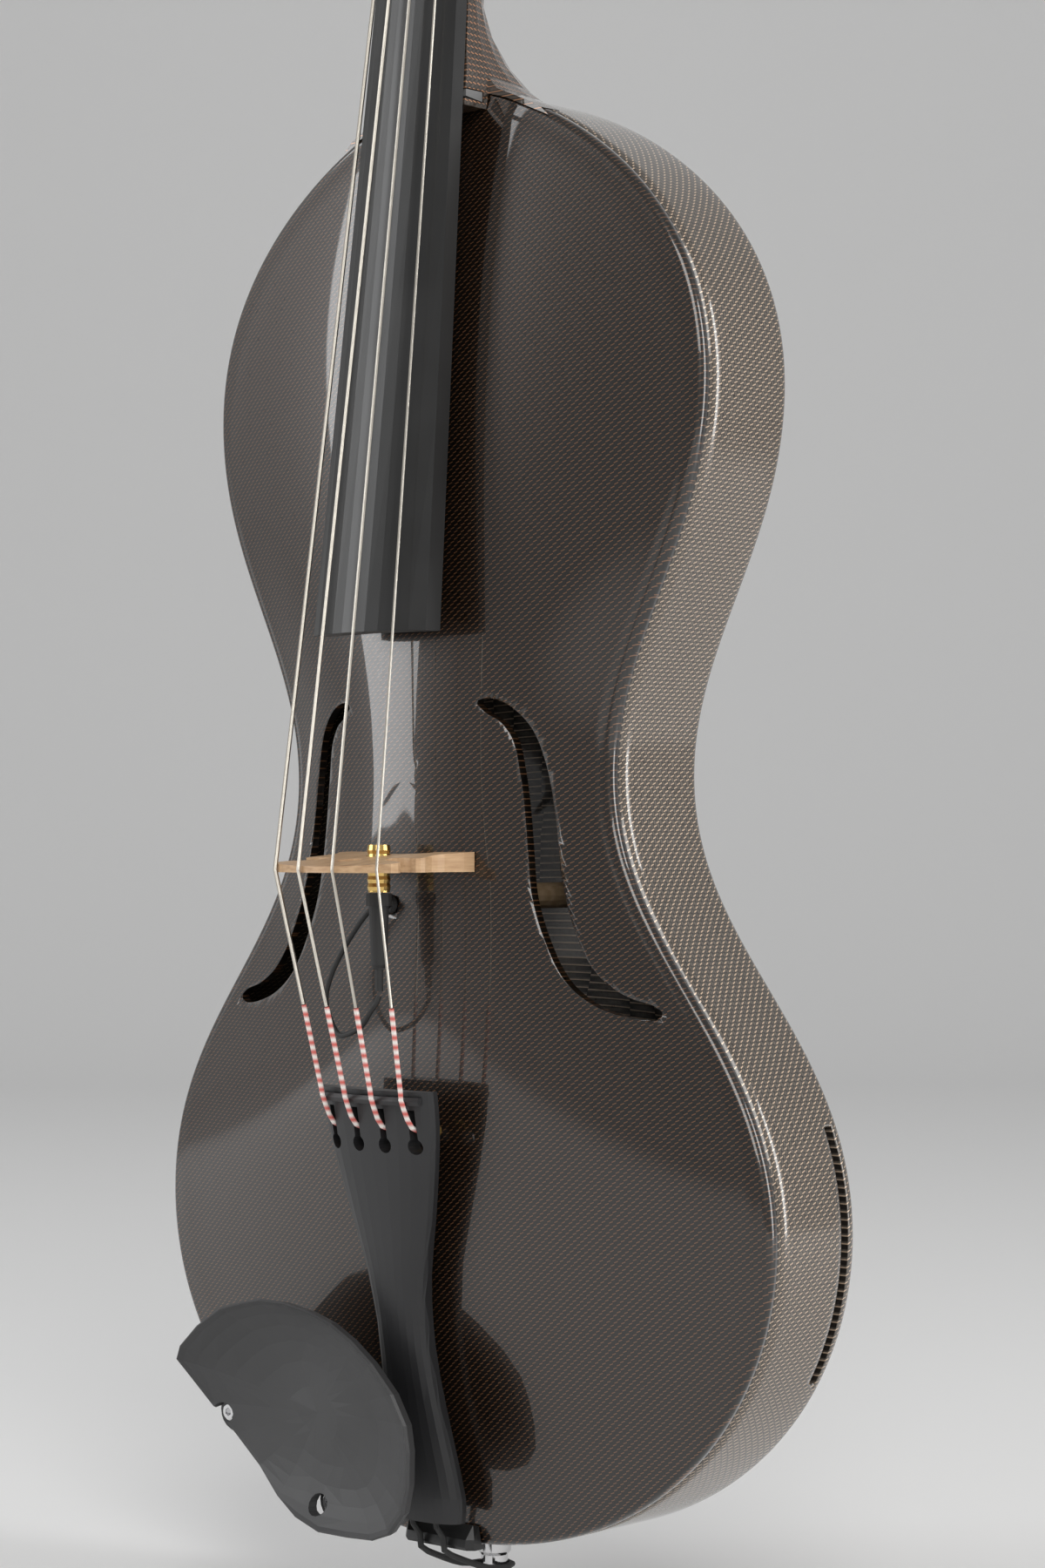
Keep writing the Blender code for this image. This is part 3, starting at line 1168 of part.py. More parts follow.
shape_with(top_plate, turned("cut_cable_hole", ((-6.0, GROMMET_NECK + GAP), (6.0, GROMMET_NECK + GAP)),
                             where, "Y", CARBON, 16))

# Chinrest and its stands

# Outline of the chinrest's plate: x and height over the body's bottom edge
CHIN_OUTLINE = ((-80.5, 46.0), (-77.5, 50.0), (-67.5, 57.0), (-57.5, 63.0), (-48.5, 65.5), (-41.5, 67.0),
                (-32.0, 67.0), (-22.0, 65.5), (-13.0, 63.0), (-5.0, 59.0), (3.0, 53.5), (11.0, 46.0),
                (16.0, 38.0), (17.2, 31.0), (17.0, 22.0), (15.0, 14.0), (10.0, 8.0), (3.0, 5.5), (-7.0, 5.0),
                (-18.0, 5.0), (-29.0, 7.0), (-40.5, 11.0), (-50.5, 18.0), (-60.5, 26.0), (-70.5, 34.0),
                (-77.5, 42.5))
CHIN_CENTRE = np.array([-26.0, 36.0])
CHIN_TAIL_Y = -46.5
CHIN_HOLES = ((-65.0, 31.5), (-22.0, 11.5))


def chin_floor_y(x):
    """The dish's bottom, which climbs over the tailpiece."""
    climb = np.clip((x + 34.0) / 22.0, 0.0, 1.0)
    return CHIN_DISH_Y + (CHIN_TAIL_Y - CHIN_DISH_Y) * climb * climb * (3 - 2 * climb)


def chin_rim_y(x, z):
    """The rim's height: raised along the top and the right, low at the lower left."""
    low = np.clip((-x - 22.0) / 26.0, 0.0, 1.0) * np.clip((58.0 - z) / 26.0, 0.0, 1.0)
    return CHIN_RIM_HIGH_Y + (CHIN_RIM_LOW_Y - CHIN_RIM_HIGH_Y) * low


def chin_ring(share, shift):
    edge = np.array(CHIN_OUTLINE)
    flat = CHIN_CENTRE + share * (edge - CHIN_CENTRE)
    rim = chin_rim_y(edge[:, 0], edge[:, 1])
    y = chin_floor_y(flat[:, 0]) + (rim - chin_floor_y(flat[:, 0])) * share ** 4.0
    return plane_ring(flat + np.array([0.0, BODY_Z]), np.minimum(y, chin_floor_y(flat[:, 0])) + shift)


def make_chinrest():
    shares = (0.22, 0.44, 0.62, 0.76, 0.87, 0.95)
    rings = [chin_ring(share, 0.0) for share in shares]
    rings.append(chin_ring(0.985, -0.2))
    rings.append(chin_ring(1.0, 0.9))
    rings.append(chin_ring(0.985, CHIN_WALL))
    rings += [chin_ring(share, CHIN_WALL) for share in reversed(shares)]
    middle = chin_floor_y(CHIN_CENTRE[0])
    pole = (CHIN_CENTRE[0], middle, CHIN_CENTRE[1] + BODY_Z)
    under = (CHIN_CENTRE[0], middle + CHIN_WALL, CHIN_CENTRE[1] + BODY_Z)
    return solid("chinrest_plate", *skin(rings, pole, under), CHARCOAL)


chinrest = make_chinrest()
for index, (x, height) in enumerate(CHIN_HOLES):
    oval = circle(14, 0.5) * np.array([CHIN_HOLE_LENGTH, CHIN_HOLE_WIDTH]) + np.array([x, height + BODY_Z])
    shape_with(chinrest, prism("cut_chin_hole_" + str(index), oval, -60.0, -30.0, CHARCOAL))


def chin_under_y(x, z):
    """The plate's underside at a place, read along the line from its centre to its outline."""
    edge = np.array(CHIN_OUTLINE) - CHIN_CENTRE
    angles = np.arctan2(edge[:, 1], edge[:, 0])
    order = np.argsort(angles)
    away = np.array([x, z - BODY_Z]) - CHIN_CENTRE
    angle = math.atan2(away[1], away[0])
    far = np.interp(angle, angles[order], np.linalg.norm(edge, axis=1)[order], period=2 * math.pi)
    rim_x, rim_z = CHIN_CENTRE + far * np.array([math.cos(angle), math.sin(angle)])
    share = min(1.0, float(np.linalg.norm(away) / far))
    floor = chin_floor_y(x)
    return float(min(floor, floor + (chin_rim_y(rim_x, rim_z) - floor) * share ** 4.0)) + CHIN_WALL


def make_stand(x, z, word):
    """A post under one of the chinrest's holes, with its cork foot and the screw that holds the plate."""
    spots = circle(12, POST_WIDTH / 2) + np.array([x, z])
    top = max(chin_under_y(a, b) for a, b in spots) + GAP + CHORD_ROOM
    cork_y = min(float(front_y(a, b)) for a, b in spots) - GAP - POST_CORK
    profile = ((top, POST_WIDTH / 2 - 0.6), (top + 0.8, POST_WIDTH / 2), (cork_y - GAP, POST_WIDTH / 2))
    turned("chinrest_post_" + word, profile, (x, 0.0, z), "Y", COMPOSITE, 20)
    loop = circle(20, POST_WIDTH / 2) + np.array([x, z])
    prism_between("chinrest_cork_" + word, loop, cork_y, front_y(loop[:, 0], loop[:, 1]) - GAP, CORK)
    head = ((top - GAP - SCREW_HEAD, SCREW_DIAMETER / 2 - 0.4), (top - GAP - SCREW_HEAD + 0.4, SCREW_DIAMETER / 2),
            (top - GAP, SCREW_DIAMETER / 2))
    screw = turned("chinrest_screw_" + word, head, (x, 0.0, z), "Y", CHROME, 16)
    socket = turned("cut_screw_" + word, ((top - GAP - SCREW_HEAD - 1.0, SCREW_KEY / 2), (top - GAP - SCREW_HEAD + 1.2, SCREW_KEY / 2)),
                    (x, 0.0, z), "Y", CHROME, 6)
    shape_with(screw, socket)


for (x, height), word in zip(CHIN_HOLES, ("outer", "inner")):
    make_stand(x, height + BODY_Z, word)
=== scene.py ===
"""Looks of the viola: the camera, the studio, its materials and its finer pieces."""

import math

import bmesh
import bpy
import numpy as np
from mathutils import Matrix, Vector


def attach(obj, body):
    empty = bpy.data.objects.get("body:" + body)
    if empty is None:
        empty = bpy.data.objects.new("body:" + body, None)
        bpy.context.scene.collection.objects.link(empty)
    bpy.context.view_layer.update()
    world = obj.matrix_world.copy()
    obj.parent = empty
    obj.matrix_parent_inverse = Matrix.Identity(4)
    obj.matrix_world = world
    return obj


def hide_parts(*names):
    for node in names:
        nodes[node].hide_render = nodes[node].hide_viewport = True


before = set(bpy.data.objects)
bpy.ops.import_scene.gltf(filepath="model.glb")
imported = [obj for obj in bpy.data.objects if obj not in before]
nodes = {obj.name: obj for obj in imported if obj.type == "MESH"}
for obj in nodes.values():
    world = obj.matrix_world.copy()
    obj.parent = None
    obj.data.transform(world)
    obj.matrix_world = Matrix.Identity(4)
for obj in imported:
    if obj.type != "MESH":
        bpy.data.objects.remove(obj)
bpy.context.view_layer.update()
MM = 0.001

# Camera

scene = bpy.context.scene
EYE = Vector((660.96, -717.78, 220.95)) * MM
YAW, PITCH, ROLL = (math.radians(a) for a in (42.14, -0.71, -0.15))
FOCAL_PIXELS = 3950.0
PHOTO_HEIGHT = 1800.0
SENSOR = 36.0
back = Vector((math.sin(YAW) * math.cos(PITCH), -math.cos(YAW) * math.cos(PITCH), math.sin(PITCH)))
level = Vector((math.cos(YAW), math.sin(YAW), 0.0))
upright = back.cross(level)
right = math.cos(ROLL) * level + math.sin(ROLL) * upright
up = -math.sin(ROLL) * level + math.cos(ROLL) * upright
lens = bpy.data.cameras.new("camera")
lens.lens = FOCAL_PIXELS * SENSOR / PHOTO_HEIGHT
lens.sensor_width = SENSOR
lens.clip_start = 0.05
camera = bpy.data.objects.new("camera", lens)
scene.collection.objects.link(camera)
camera.matrix_world = Matrix.Translation(EYE) @ Matrix((right, up, back)).transposed().to_4x4()
scene.camera = camera
scene.view_settings.view_transform = "Standard"

# Materials


class Look:
    """A Principled material with a few shorthands for its nodes."""

    def __init__(self, name, colour, roughness, metallic=0.0, coat=0.0):
        self.made = bpy.data.materials.new(name)
        self.made.use_nodes = True
        self.tree = self.made.node_tree
        self.shader = self.tree.nodes["Principled BSDF"]
        self.set("Base Color", (*colour, 1.0))
        self.set("Roughness", roughness)
        self.set("Metallic", metallic)
        self.set("Coat Weight", coat)
        self.set("Coat Roughness", 0.03)
        self.place = self.tree.nodes.new("ShaderNodeTexCoord").outputs["Object"]

    def set(self, name, value):
        self.shader.inputs[name].default_value = value

    def node(self, kind, **values):
        made = self.tree.nodes.new("ShaderNode" + kind)
        for name, value in values.items():
            if hasattr(made, name):
                setattr(made, name, value)
            else:
                made.inputs[name.replace("_", " ")].default_value = value
        return made

    def join(self, source, target):
        self.tree.links.new(source, target)

    def stretched(self, scale, turn=(0.0, 0.0, 0.0)):
        mapping = self.node("Mapping")
        mapping.inputs["Scale"].default_value = scale
        mapping.inputs["Rotation"].default_value = turn
        self.join(self.place, mapping.inputs["Vector"])
        return mapping.outputs["Vector"]

    def noise(self, scale, detail=3.0, stretch=(1.0, 1.0, 1.0)):
        noise = self.node("TexNoise", Scale=scale, Detail=detail)
        self.join(self.stretched(stretch), noise.inputs["Vector"])
        return noise.outputs["Fac"]

    def ramp(self, source, stops):
        ramp = self.node("ValToRGB")
        items = ramp.color_ramp.elements
        while len(items) < len(stops):
            items.new(0.5)
        for item, (position, colour) in zip(items, stops):
            item.position = position
            item.color = (*colour, 1.0) if len(colour) == 3 else colour
        self.join(source, ramp.inputs["Fac"])
        return ramp.outputs["Color"]

    def maths(self, operation, a, b=None):
        made = self.node("Math", operation=operation)
        for slot, value in zip(made.inputs, (a, b)):
            if value is None:
                continue
            if isinstance(value, (int, float)):
                slot.default_value = value
            else:
                self.join(value, slot)
        return made.outputs[0]

    def mix(self, share, a, b):
        made = self.node("Mix", data_type="RGBA")
        for name, value in ((0, share), (6, a), (7, b)):
            if isinstance(value, tuple):
                made.inputs[name].default_value = (*value, 1.0)
            elif isinstance(value, (int, float)):
                made.inputs[name].default_value = value
            else:
                self.join(value, made.inputs[name])
        return made.outputs[2]

    def colour(self, source):
        self.join(source, self.shader.inputs["Base Color"])

    def rough(self, source, low, high):
        ranged = self.node("MapRange")
        ranged.inputs["To Min"].default_value = low
        ranged.inputs["To Max"].default_value = high
        self.join(source, ranged.inputs["Value"])
        self.join(ranged.outputs["Result"], self.shader.inputs["Roughness"])

    def bump(self, source, strength, distance):
        bump = self.node("Bump", Strength=strength, Distance=distance)
        self.join(source, bump.inputs["Height"])
        self.join(bump.outputs["Normal"], self.shader.inputs["Normal"])


# Shares of a weave's cell: the wire's rise across it, where it starts and half its width
WIRE_SLOPE = 0.5
WIRE_START = 0.22
WIRE_HALF_WIDTH = 0.14


def woven(name, across, tow, dark, light, copper, turn=(0.0, 0.0, 0.0)):
    """Weave of carbon tows with a bright wire and a painted sheen on each tow's crown: the two axes in
    across run over the face.

    The cell number is floor(u) + floor(v) modulo two. Where it is even, the tow along u lies on
    top and carries the wire, a line at |v - WIRE_SLOPE u - WIRE_START| < WIRE_HALF_WIDTH in the cell.
    """
    look = Look(name, dark, 0.32, 0.25, 1.0)
    split = look.node("SeparateXYZ")
    look.join(look.stretched((1.0, 1.0, 1.0), turn), split.inputs[0])
    u = look.maths("DIVIDE", split.outputs[across[0]], tow[0] * MM)
    v = look.maths("DIVIDE", split.outputs[across[1]], tow[1] * MM)
    cell_u, cell_v = look.maths("FLOOR", u), look.maths("FLOOR", v)
    step = look.maths("FLOORED_MODULO", look.maths("ADD", cell_u, cell_v), 2.0)
    over = look.maths("LESS_THAN", step, 0.5)
    part_u, part_v = look.maths("FRACT", u), look.maths("FRACT", v)
    crown = look.maths("SINE", look.maths("MULTIPLY", look.mix(over, part_u, part_v), math.pi))
    grain = look.noise(900.0, 2.0)
    # painted sheen: each tow's crown is painted from the dark colour towards the light one, with grain in
    # it
    lit = look.maths("MULTIPLY", crown, look.maths("ADD", grain, 0.25))
    base = look.mix(lit, dark, light)
    off_line = look.maths("SUBTRACT", part_v, look.maths("MULTIPLY", part_u, WIRE_SLOPE))
    slant = look.maths("ABSOLUTE", look.maths("SUBTRACT", off_line, WIRE_START))
    wire = look.maths("MULTIPLY", look.maths("LESS_THAN", slant, WIRE_HALF_WIDTH), over)
    look.colour(look.mix(wire, base, copper))
    look.rough(grain, 0.2, 0.45)
    look.bump(crown, 0.12, 0.0001)
    return look.made


def satin(name, colour, roughness, grain_scale, strength, coat=0.0):
    """Moulded or sanded black: a fine grain in its bump, its shade and its gloss."""
    look = Look(name, colour, roughness, 0.0, coat)
    grain = look.noise(grain_scale, 4.0)
    wide = look.noise(40.0, 2.0)
    brighter = tuple(min(1.0, c * 1.7 + 0.004) for c in colour)
    look.colour(look.mix(wide, colour, brighter))
    look.rough(wide, roughness - 0.06, roughness + 0.08)
    look.bump(grain, strength, 0.0001)
    return look.made


def timber(name, pale, dark, stretch, roughness):
    """Straight grain with short flecks across it."""
    look = Look(name, pale, roughness)
    grain = look.noise(60.0, 5.0, stretch)
    fleck = look.noise(420.0, 3.0, (stretch[1], stretch[0], stretch[2]))
    tone = look.ramp(grain, ((0.3, dark), (0.62, pale)))
    look.colour(look.mix(look.maths("MULTIPLY", fleck, 0.35), tone, dark))
    look.bump(grain, 0.15, 0.0001)
    return look.made


def bright(name, colour, roughness, scale=500.0):
    """Polished metal with faint wear in its gloss."""
    look = Look(name, colour, roughness, 1.0)
    wear = look.noise(scale, 4.0)
    look.rough(wear, max(0.02, roughness - 0.05), roughness + 0.1)
    look.bump(wear, 0.03, 0.00005)
    return look.made


def banded(name, axis, pitch, first, second, roughness, metallic):
    """A fine winding or thread as bands along an axis: on a metal winding the darker band is painted shade
    between the turns, on a silk wrap the two colours are its own.
    """
    look = Look(name, first, roughness, metallic)
    split = look.node("SeparateXYZ")
    look.join(look.place, split.inputs[0])
    turn = look.maths("SINE", look.maths("MULTIPLY", split.outputs[axis], 2 * math.pi / (pitch * MM)))
    share = look.maths("MULTIPLY", look.maths("ADD", turn, 1.0), 0.5)
    look.colour(look.mix(share, first, second))
    look.bump(share, 0.4, 0.0001)
    return look.made


NECK_WEAVE_TURN = 0.78
# One carbon cloth with copper wire in three copies whose brightness differs by painted light: the ribs'
# copy is painted brighter as painted sheen, the top's darker as painted shade, the neck's in between
top_weave = woven("top_weave", (0, 2), (1.15, 0.95), (0.0022, 0.0018, 0.0015), (0.008, 0.006, 0.004),
                  (0.16, 0.075, 0.035))
rib_weave = woven("rib_weave", (1, 2), (1.3, 1.05), (0.012, 0.010, 0.009), (0.17, 0.145, 0.12),
                  (0.62, 0.46, 0.33))
neck_weave = woven("neck_weave", (1, 2), (1.2, 1.2), (0.006, 0.005, 0.004), (0.10, 0.08, 0.065),
                   (0.42, 0.20, 0.10), (NECK_WEAVE_TURN, 0.0, 0.0))
ebony = satin("ebony_black", (0.010, 0.010, 0.010), 0.34, 1500.0, 0.12)
composite = satin("matt_composite", (0.012, 0.012, 0.013), 0.42, 1800.0, 0.2)
charcoal = satin("charcoal", (0.030, 0.030, 0.031), 0.5, 2200.0, 0.25)
rubber = satin("rubber_black", (0.012, 0.012, 0.012), 0.62, 1600.0, 0.1)
shim_grey = satin("shim_grey", (0.10, 0.10, 0.10), 0.5, 1600.0, 0.1)
foam = satin("hard_foam", (0.2, 0.19, 0.17), 0.8, 700.0, 0.4)
maple = timber("maple", (0.60, 0.40, 0.23), (0.42, 0.25, 0.13), (6.0, 1.0, 18.0), 0.45)
spruce = timber("spruce", (0.58, 0.42, 0.26), (0.42, 0.28, 0.15), (20.0, 6.0, 0.6), 0.6)
cork = timber("cork", (0.40, 0.25, 0.13), (0.20, 0.11, 0.05), (8.0, 8.0, 8.0), 0.9)
chrome = bright("chrome", (0.72, 0.72, 0.73), 0.1)
brass = bright("brass", (0.74, 0.50, 0.17), 0.2)
# painted shade: the winding's darker bands stand for the shade in the grooves between its turns
winding = banded("string_wound", 2, 0.25, (0.75, 0.71, 0.63), (0.42, 0.39, 0.34), 0.3, 1.0)
silk = banded("silk_wrap", 2, 2.6, (0.82, 0.78, 0.74), (0.62, 0.12, 0.10), 0.75, 0.0)
PLAIN = {
    "body_shell": rib_weave, "top_plate": top_weave, "neck": neck_weave, "neck_shim": shim_grey,
    "slot_channel_bass": composite, "slot_channel_treble": composite,
    "top_block": foam, "end_block": foam,
    "soundpost": spruce, "bass_bar": spruce, "fingerboard": ebony, "nut": ebony, "saddle": ebony,
    "bridge": maple, "tailpiece": composite, "tailpiece_fret": composite, "tailgut": rubber,
    "endpin_flange": chrome, "endpin_barrel": brass, "endpin_nut": brass, "jack_terminal": rubber,
    "pickup_jack": brass, "plug_body": rubber, "plug_boot": rubber, "pickup_cable": rubber,
    "cable_grommet": rubber, "chinrest_plate": charcoal,
}
for word in ("outer", "inner"):
    PLAIN["chinrest_post_" + word] = composite
    PLAIN["chinrest_cork_" + word] = cork
    PLAIN["chinrest_screw_" + word] = chrome
for word in "cgda":
    PLAIN.update({"peg_" + word: ebony, "string_" + word: winding,
                  "silk_" + word: silk, "ball_" + word: brass})
for name, item in nodes.items():
    item.data.materials.clear()
    item.data.materials.append(PLAIN[name])
    item.data.shade_smooth()
    item.data.set_sharp_from_angle(angle=math.radians(32.0))

# The body's finer surfaces

BODY_LENGTH, BODY_Z, HALF_DEPTH = 406.0, 22.0, 19.25
TOP_ARCH, BACK_ARCH = 16.5, 15.0
PLATE_WALL, RIB_WALL, FRONT_ROLL, BACK_ROLL = 2.6, 2.2, 2.4, 4.0
LEDGE_WIDTH, LEDGE_DEPTH, SEAM_Y, GAP = 4.6, 3.0, -15.85, 0.3
WAIST_AT = 212.5
SLOT_Y, SLOT_WIDTH, SLOT_LOW, SLOT_HIGH = 12.85, 3.0, 50.0, 120.0
SLOT_OUTSIDE, SLOT_INSIDE = 2.0, 3.2
SOUND_HOLE_DROP, SOUND_HOLE_CUT = 25.8, (-46.0, -5.0)
CABLE_HOLE_AT, CABLE_HOLE_RADIUS, CABLE_HOLE_CUT = (-5.2, 199.6), 2.45, (-42.0, -28.0)
PIN_HOLE_RADIUS, PIN_HOLE_CUT = 4.8, (-40.0, -10.0)
SPANS = (((0, 0), (71.5, 0), (114, 44.5), (114, 90.5)),
         ((114, 90.5), (114, 144.5), (60.3, 164.5), (60.3, 212.5)),
         ((60.3, 212.5), (60.3, 249.5), (92.3, 275.5), (92.3, 318.5)),
         ((92.3, 318.5), (92.3, 378.5), (21.5, 406), (0, 406)))
SOUND_HOLE = ((24.6, 46.1, 1.2), (28.0, 45.1, 4.4), (33.0, 42.5, 5.2), (37.6, 36.6, 6.2),
              (40.2, 27.1, 7.4), (42.0, 15.6, 8.0), (43.4, 5.0, 8.4), (45.3, -5.7, 8.9),
              (49.1, -16.2, 8.6), (54.8, -26.0, 8.2), (62.0, -32.2, 6.6), (70.0, -35.6, 5.2),
              (77.0, -37.0, 4.2), (80.3, -37.3, 1.4))
STEPS = 44


def half_outline(steps):
    """Four cubic curves B(t) = sum of (3 over k) (1 - t)^(3 - k) t^k P_k, bottom to top."""
    t = np.linspace(0.0, 1.0, steps, endpoint=False)[:, None]
    runs = []
    for span in SPANS:
        a, b, c, d = (np.array(p, float) for p in span)
        runs.append((1 - t) ** 3 * a + 3 * (1 - t) ** 2 * t * b + 3 * (1 - t) * t * t * c + t ** 3 * d)
    return np.concatenate([*runs, [[0.0, BODY_LENGTH]]])


FINE = half_outline(60)


def arch(x, height, rise):
    """rise (1 - |2h/L - 1|^3)^1.1 (1 - (x/w)^2)^1.25, w being the half width at height h of L."""
    share = np.clip(np.abs(x) / np.maximum(np.interp(height, FINE[:, 1], FINE[:, 0]), 0.001), 0.0, 1.0)
    along = np.abs(2 * height / BODY_LENGTH - 1)
    return rise * np.clip(1 - along ** 3, 0, 1) ** 1.1 * (1 - share ** 2) ** 1.25


right_half = half_outline(STEPS)
LOOP = np.concatenate([right_half, right_half[-2:0:-1] * [-1.0, 1.0]])
slope = np.roll(LOOP, -1, axis=0) - np.roll(LOOP, 1, axis=0)
OUTWARD = np.stack([slope[:, 1], -slope[:, 0]], axis=1)
OUTWARD /= np.linalg.norm(OUTWARD, axis=1)[:, None]
HEART = np.array([0.0, WAIST_AT])


def ring(loop, y):
    """The loop of x and height above the body's bottom, laid at depth y in the part's frame."""
    return np.stack([loop[:, 0], np.broadcast_to(y, len(loop)), loop[:, 1] + BODY_Z], axis=1)


def arched(loop, shares, side, lift):
    """The loop scaled by each share about the waist's middle, on the top's arch (-1) or the back's (1)."""
    rise = TOP_ARCH if side < 0 else BACK_ARCH
    rings = []
    for share in shares:
        flat = HEART + share * (loop - HEART)
        rings.append(ring(flat, side * (HALF_DEPTH + arch(flat[:, 0], flat[:, 1], rise) + lift)))
    return rings


def rolled(side, roll):
    """A quarter circle of radius roll from the face to the ribs, in nine rings."""
    rings = []
    for angle in np.linspace(math.pi / 2, 0.0, 9):
        inwards = roll * (1 - math.cos(angle))
        down = roll * (1 - math.sin(angle))
        rings.append(ring(LOOP - inwards * OUTWARD, side * (HALF_DEPTH - down)))
    return rings


def closed_skin(name, rings, first, last, look):
    """A grid of rings closed by a pole at each end, given in millimetres.

    The sign of the sum of a . (b x c) + a . (c x d) over the grid's faces says which way they turn.
    """
    rows, count = len(rings), len(rings[0])
    verts = np.concatenate([np.concatenate(rings), [first, last]])
    r, k = np.meshgrid(np.arange(rows - 1), np.arange(count), indexing="ij")
    j = (k + 1) % count
    near, far = r * count, (r + 1) * count
    quads = np.stack([near + k, near + j, far + j, far + k], axis=-1).reshape(-1, 4)
    k = np.arange(count)
    j = (k + 1) % count
    last_row = (rows - 1) * count
    head = np.stack([np.full(count, rows * count), j, k], axis=1)
    tail = np.stack([np.full(count, rows * count + 1), last_row + k, last_row + j], axis=1)
    faces = quads.tolist() + head.tolist() + tail.tolist()
    a, b, c, d = (verts[quads[:, i]] for i in range(4))
    volume = np.einsum("ij,ij->", a, np.cross(b, c)) + np.einsum("ij,ij->", a, np.cross(c, d))
    if volume < 0:
        faces = [face[::-1] for face in faces]
    mesh = bpy.data.meshes.new(name)
    mesh.from_pydata((verts * MM).tolist(), [], faces)
    mesh.shade_smooth()
    mesh.materials.append(look)
    made = bpy.data.objects.new(name, mesh)
    scene.collection.objects.link(made)
    return made


def smooth_run(points, per_span):
    """Catmull-Rom: half of 2b + (c - a) t + (2a - 5b + 4c - d) t^2 + (3b - a - 3c + d) t^3."""
    p = np.array(points, float)
    p = np.concatenate([2 * p[:1] - p[1:2], p, 2 * p[-1:] - p[-2:-1]])
    t = np.linspace(0.0, 1.0, per_span, endpoint=False)[:, None]
    spans = []
    for a, b, c, d in zip(p[:-3], p[1:-2], p[2:-1], p[3:]):
        bend = (2 * a - 5 * b + 4 * c - d) * t ** 2
        twist = (3 * b - a - 3 * c + d) * t ** 3
        spans.append(0.5 * (2 * b + (c - a) * t + bend + twist))
    return np.concatenate([*spans, p[-2:-1]])


def circle(radius, count):
    """Points of a full circle around (0, 0)."""
    angle = np.linspace(0, 2 * math.pi, count, endpoint=False)
    return radius * np.stack([np.cos(angle), np.sin(angle)], axis=1)


def normals(run):
    """Unit normals of an open line, on its right hand."""
    step = np.gradient(run, axis=0)
    across = np.stack([step[:, 1], -step[:, 0]], axis=1)
    return across / np.linalg.norm(across, axis=1)[:, None]


def cutter(name, loop, y0, y1):
    """A prism over a loop of x and z, from depth y0 to depth y1, all in millimetres."""
    count = len(loop)
    verts = [(x * MM, y * MM, z * MM) for y in (y0, y1) for x, z in loop]
    faces = [(i, (i + 1) % count, (i + 1) % count + count, i + count) for i in range(count)]
    faces += [tuple(range(count - 1, -1, -1)), tuple(range(count, 2 * count))]
    mesh = bpy.data.meshes.new(name)
    mesh.from_pydata(verts, [], faces)
    tool = bpy.data.objects.new(name, mesh)
    scene.collection.objects.link(tool)
    bm = bmesh.new()
    bm.from_mesh(mesh)
    bmesh.ops.recalc_face_normals(bm, faces=bm.faces)
    bm.to_mesh(mesh)
    bm.free()
    return tool


def cut(target, tool):
    """Cuts with an exact Boolean and keeps the result in the mesh, so that no tool is left."""
    step = target.modifiers.new("cut", "BOOLEAN")
    step.object = tool
    step.solver = "EXACT"
    evaluated = target.evaluated_get(bpy.context.evaluated_depsgraph_get())
    mesh = bpy.data.meshes.new_from_object(evaluated)
    target.modifiers.clear()
    target.data = mesh
    bpy.data.objects.remove(tool, do_unlink=True)


PLATE = np.linspace(0.06, 0.985, 30)
INNER = np.linspace(0.1, 0.95, 12)
edge = LOOP - FRONT_ROLL * OUTWARD
ledge = LOOP - LEDGE_WIDTH * OUTWARD
rise_top = arch(0.0, WAIST_AT, TOP_ARCH)
rise_back = arch(0.0, WAIST_AT, BACK_ARCH)
rings = arched(edge, PLATE, -1, 0.0) + rolled(-1, FRONT_ROLL) + [ring(LOOP, SEAM_Y), ring(ledge, SEAM_Y)]
rings += arched(ledge, INNER, -1, -PLATE_WALL)[::-1]
plate = closed_skin("top_plate_fine", rings, (0.0, -HALF_DEPTH - rise_top, WAIST_AT + BODY_Z),
                    (0.0, -HALF_DEPTH - rise_top + PLATE_WALL, WAIST_AT + BODY_Z), top_weave)
for side in (-1, 1):
    line = smooth_run(SOUND_HOLE, 5)
    middle = line[:, :2] * [side, 1.0] + [0.0, BODY_Z + WAIST_AT - SOUND_HOLE_DROP]
    half = normals(middle) * line[:, 2:3] / 2
    loop = np.concatenate([middle + half, (middle - half)[::-1]])
    cut(plate, cutter("sound_hole", loop, *SOUND_HOLE_CUT))
cut(plate, cutter("cable_hole", circle(CABLE_HOLE_RADIUS, 24) + CABLE_HOLE_AT, *CABLE_HOLE_CUT))
wall = LOOP - RIB_WALL * OUTWARD
foot = LOOP - (BACK_ROLL + RIB_WALL) * OUTWARD
rim_y = SEAM_Y + GAP
rings = arched(LOOP - BACK_ROLL * OUTWARD, PLATE, 1, 0.0) + rolled(1, BACK_ROLL)
rings += [ring(LOOP, y) for y in np.linspace(HALF_DEPTH - BACK_ROLL, rim_y, 7)[1:]]
rings += [ring(ledge, rim_y), ring(ledge, rim_y + LEDGE_DEPTH),
          ring(wall, rim_y + LEDGE_DEPTH + LEDGE_WIDTH - RIB_WALL), ring(wall, HALF_DEPTH - BACK_ROLL)]
rings += arched(foot, (*INNER, 1.0), 1, -PLATE_WALL)[::-1]
shell = closed_skin("body_shell_fine", rings, (0.0, HALF_DEPTH + rise_back, WAIST_AT + BODY_Z),
                    (0.0, HALF_DEPTH + rise_back - PLATE_WALL, WAIST_AT + BODY_Z), rib_weave)
fine = half_outline(80)
run = fine[(fine[:, 1] > SLOT_LOW) & (fine[:, 1] < SLOT_HIGH)]
out = normals(run)
slot = np.concatenate([run + SLOT_OUTSIDE * out, (run - SLOT_INSIDE * out)[::-1]])
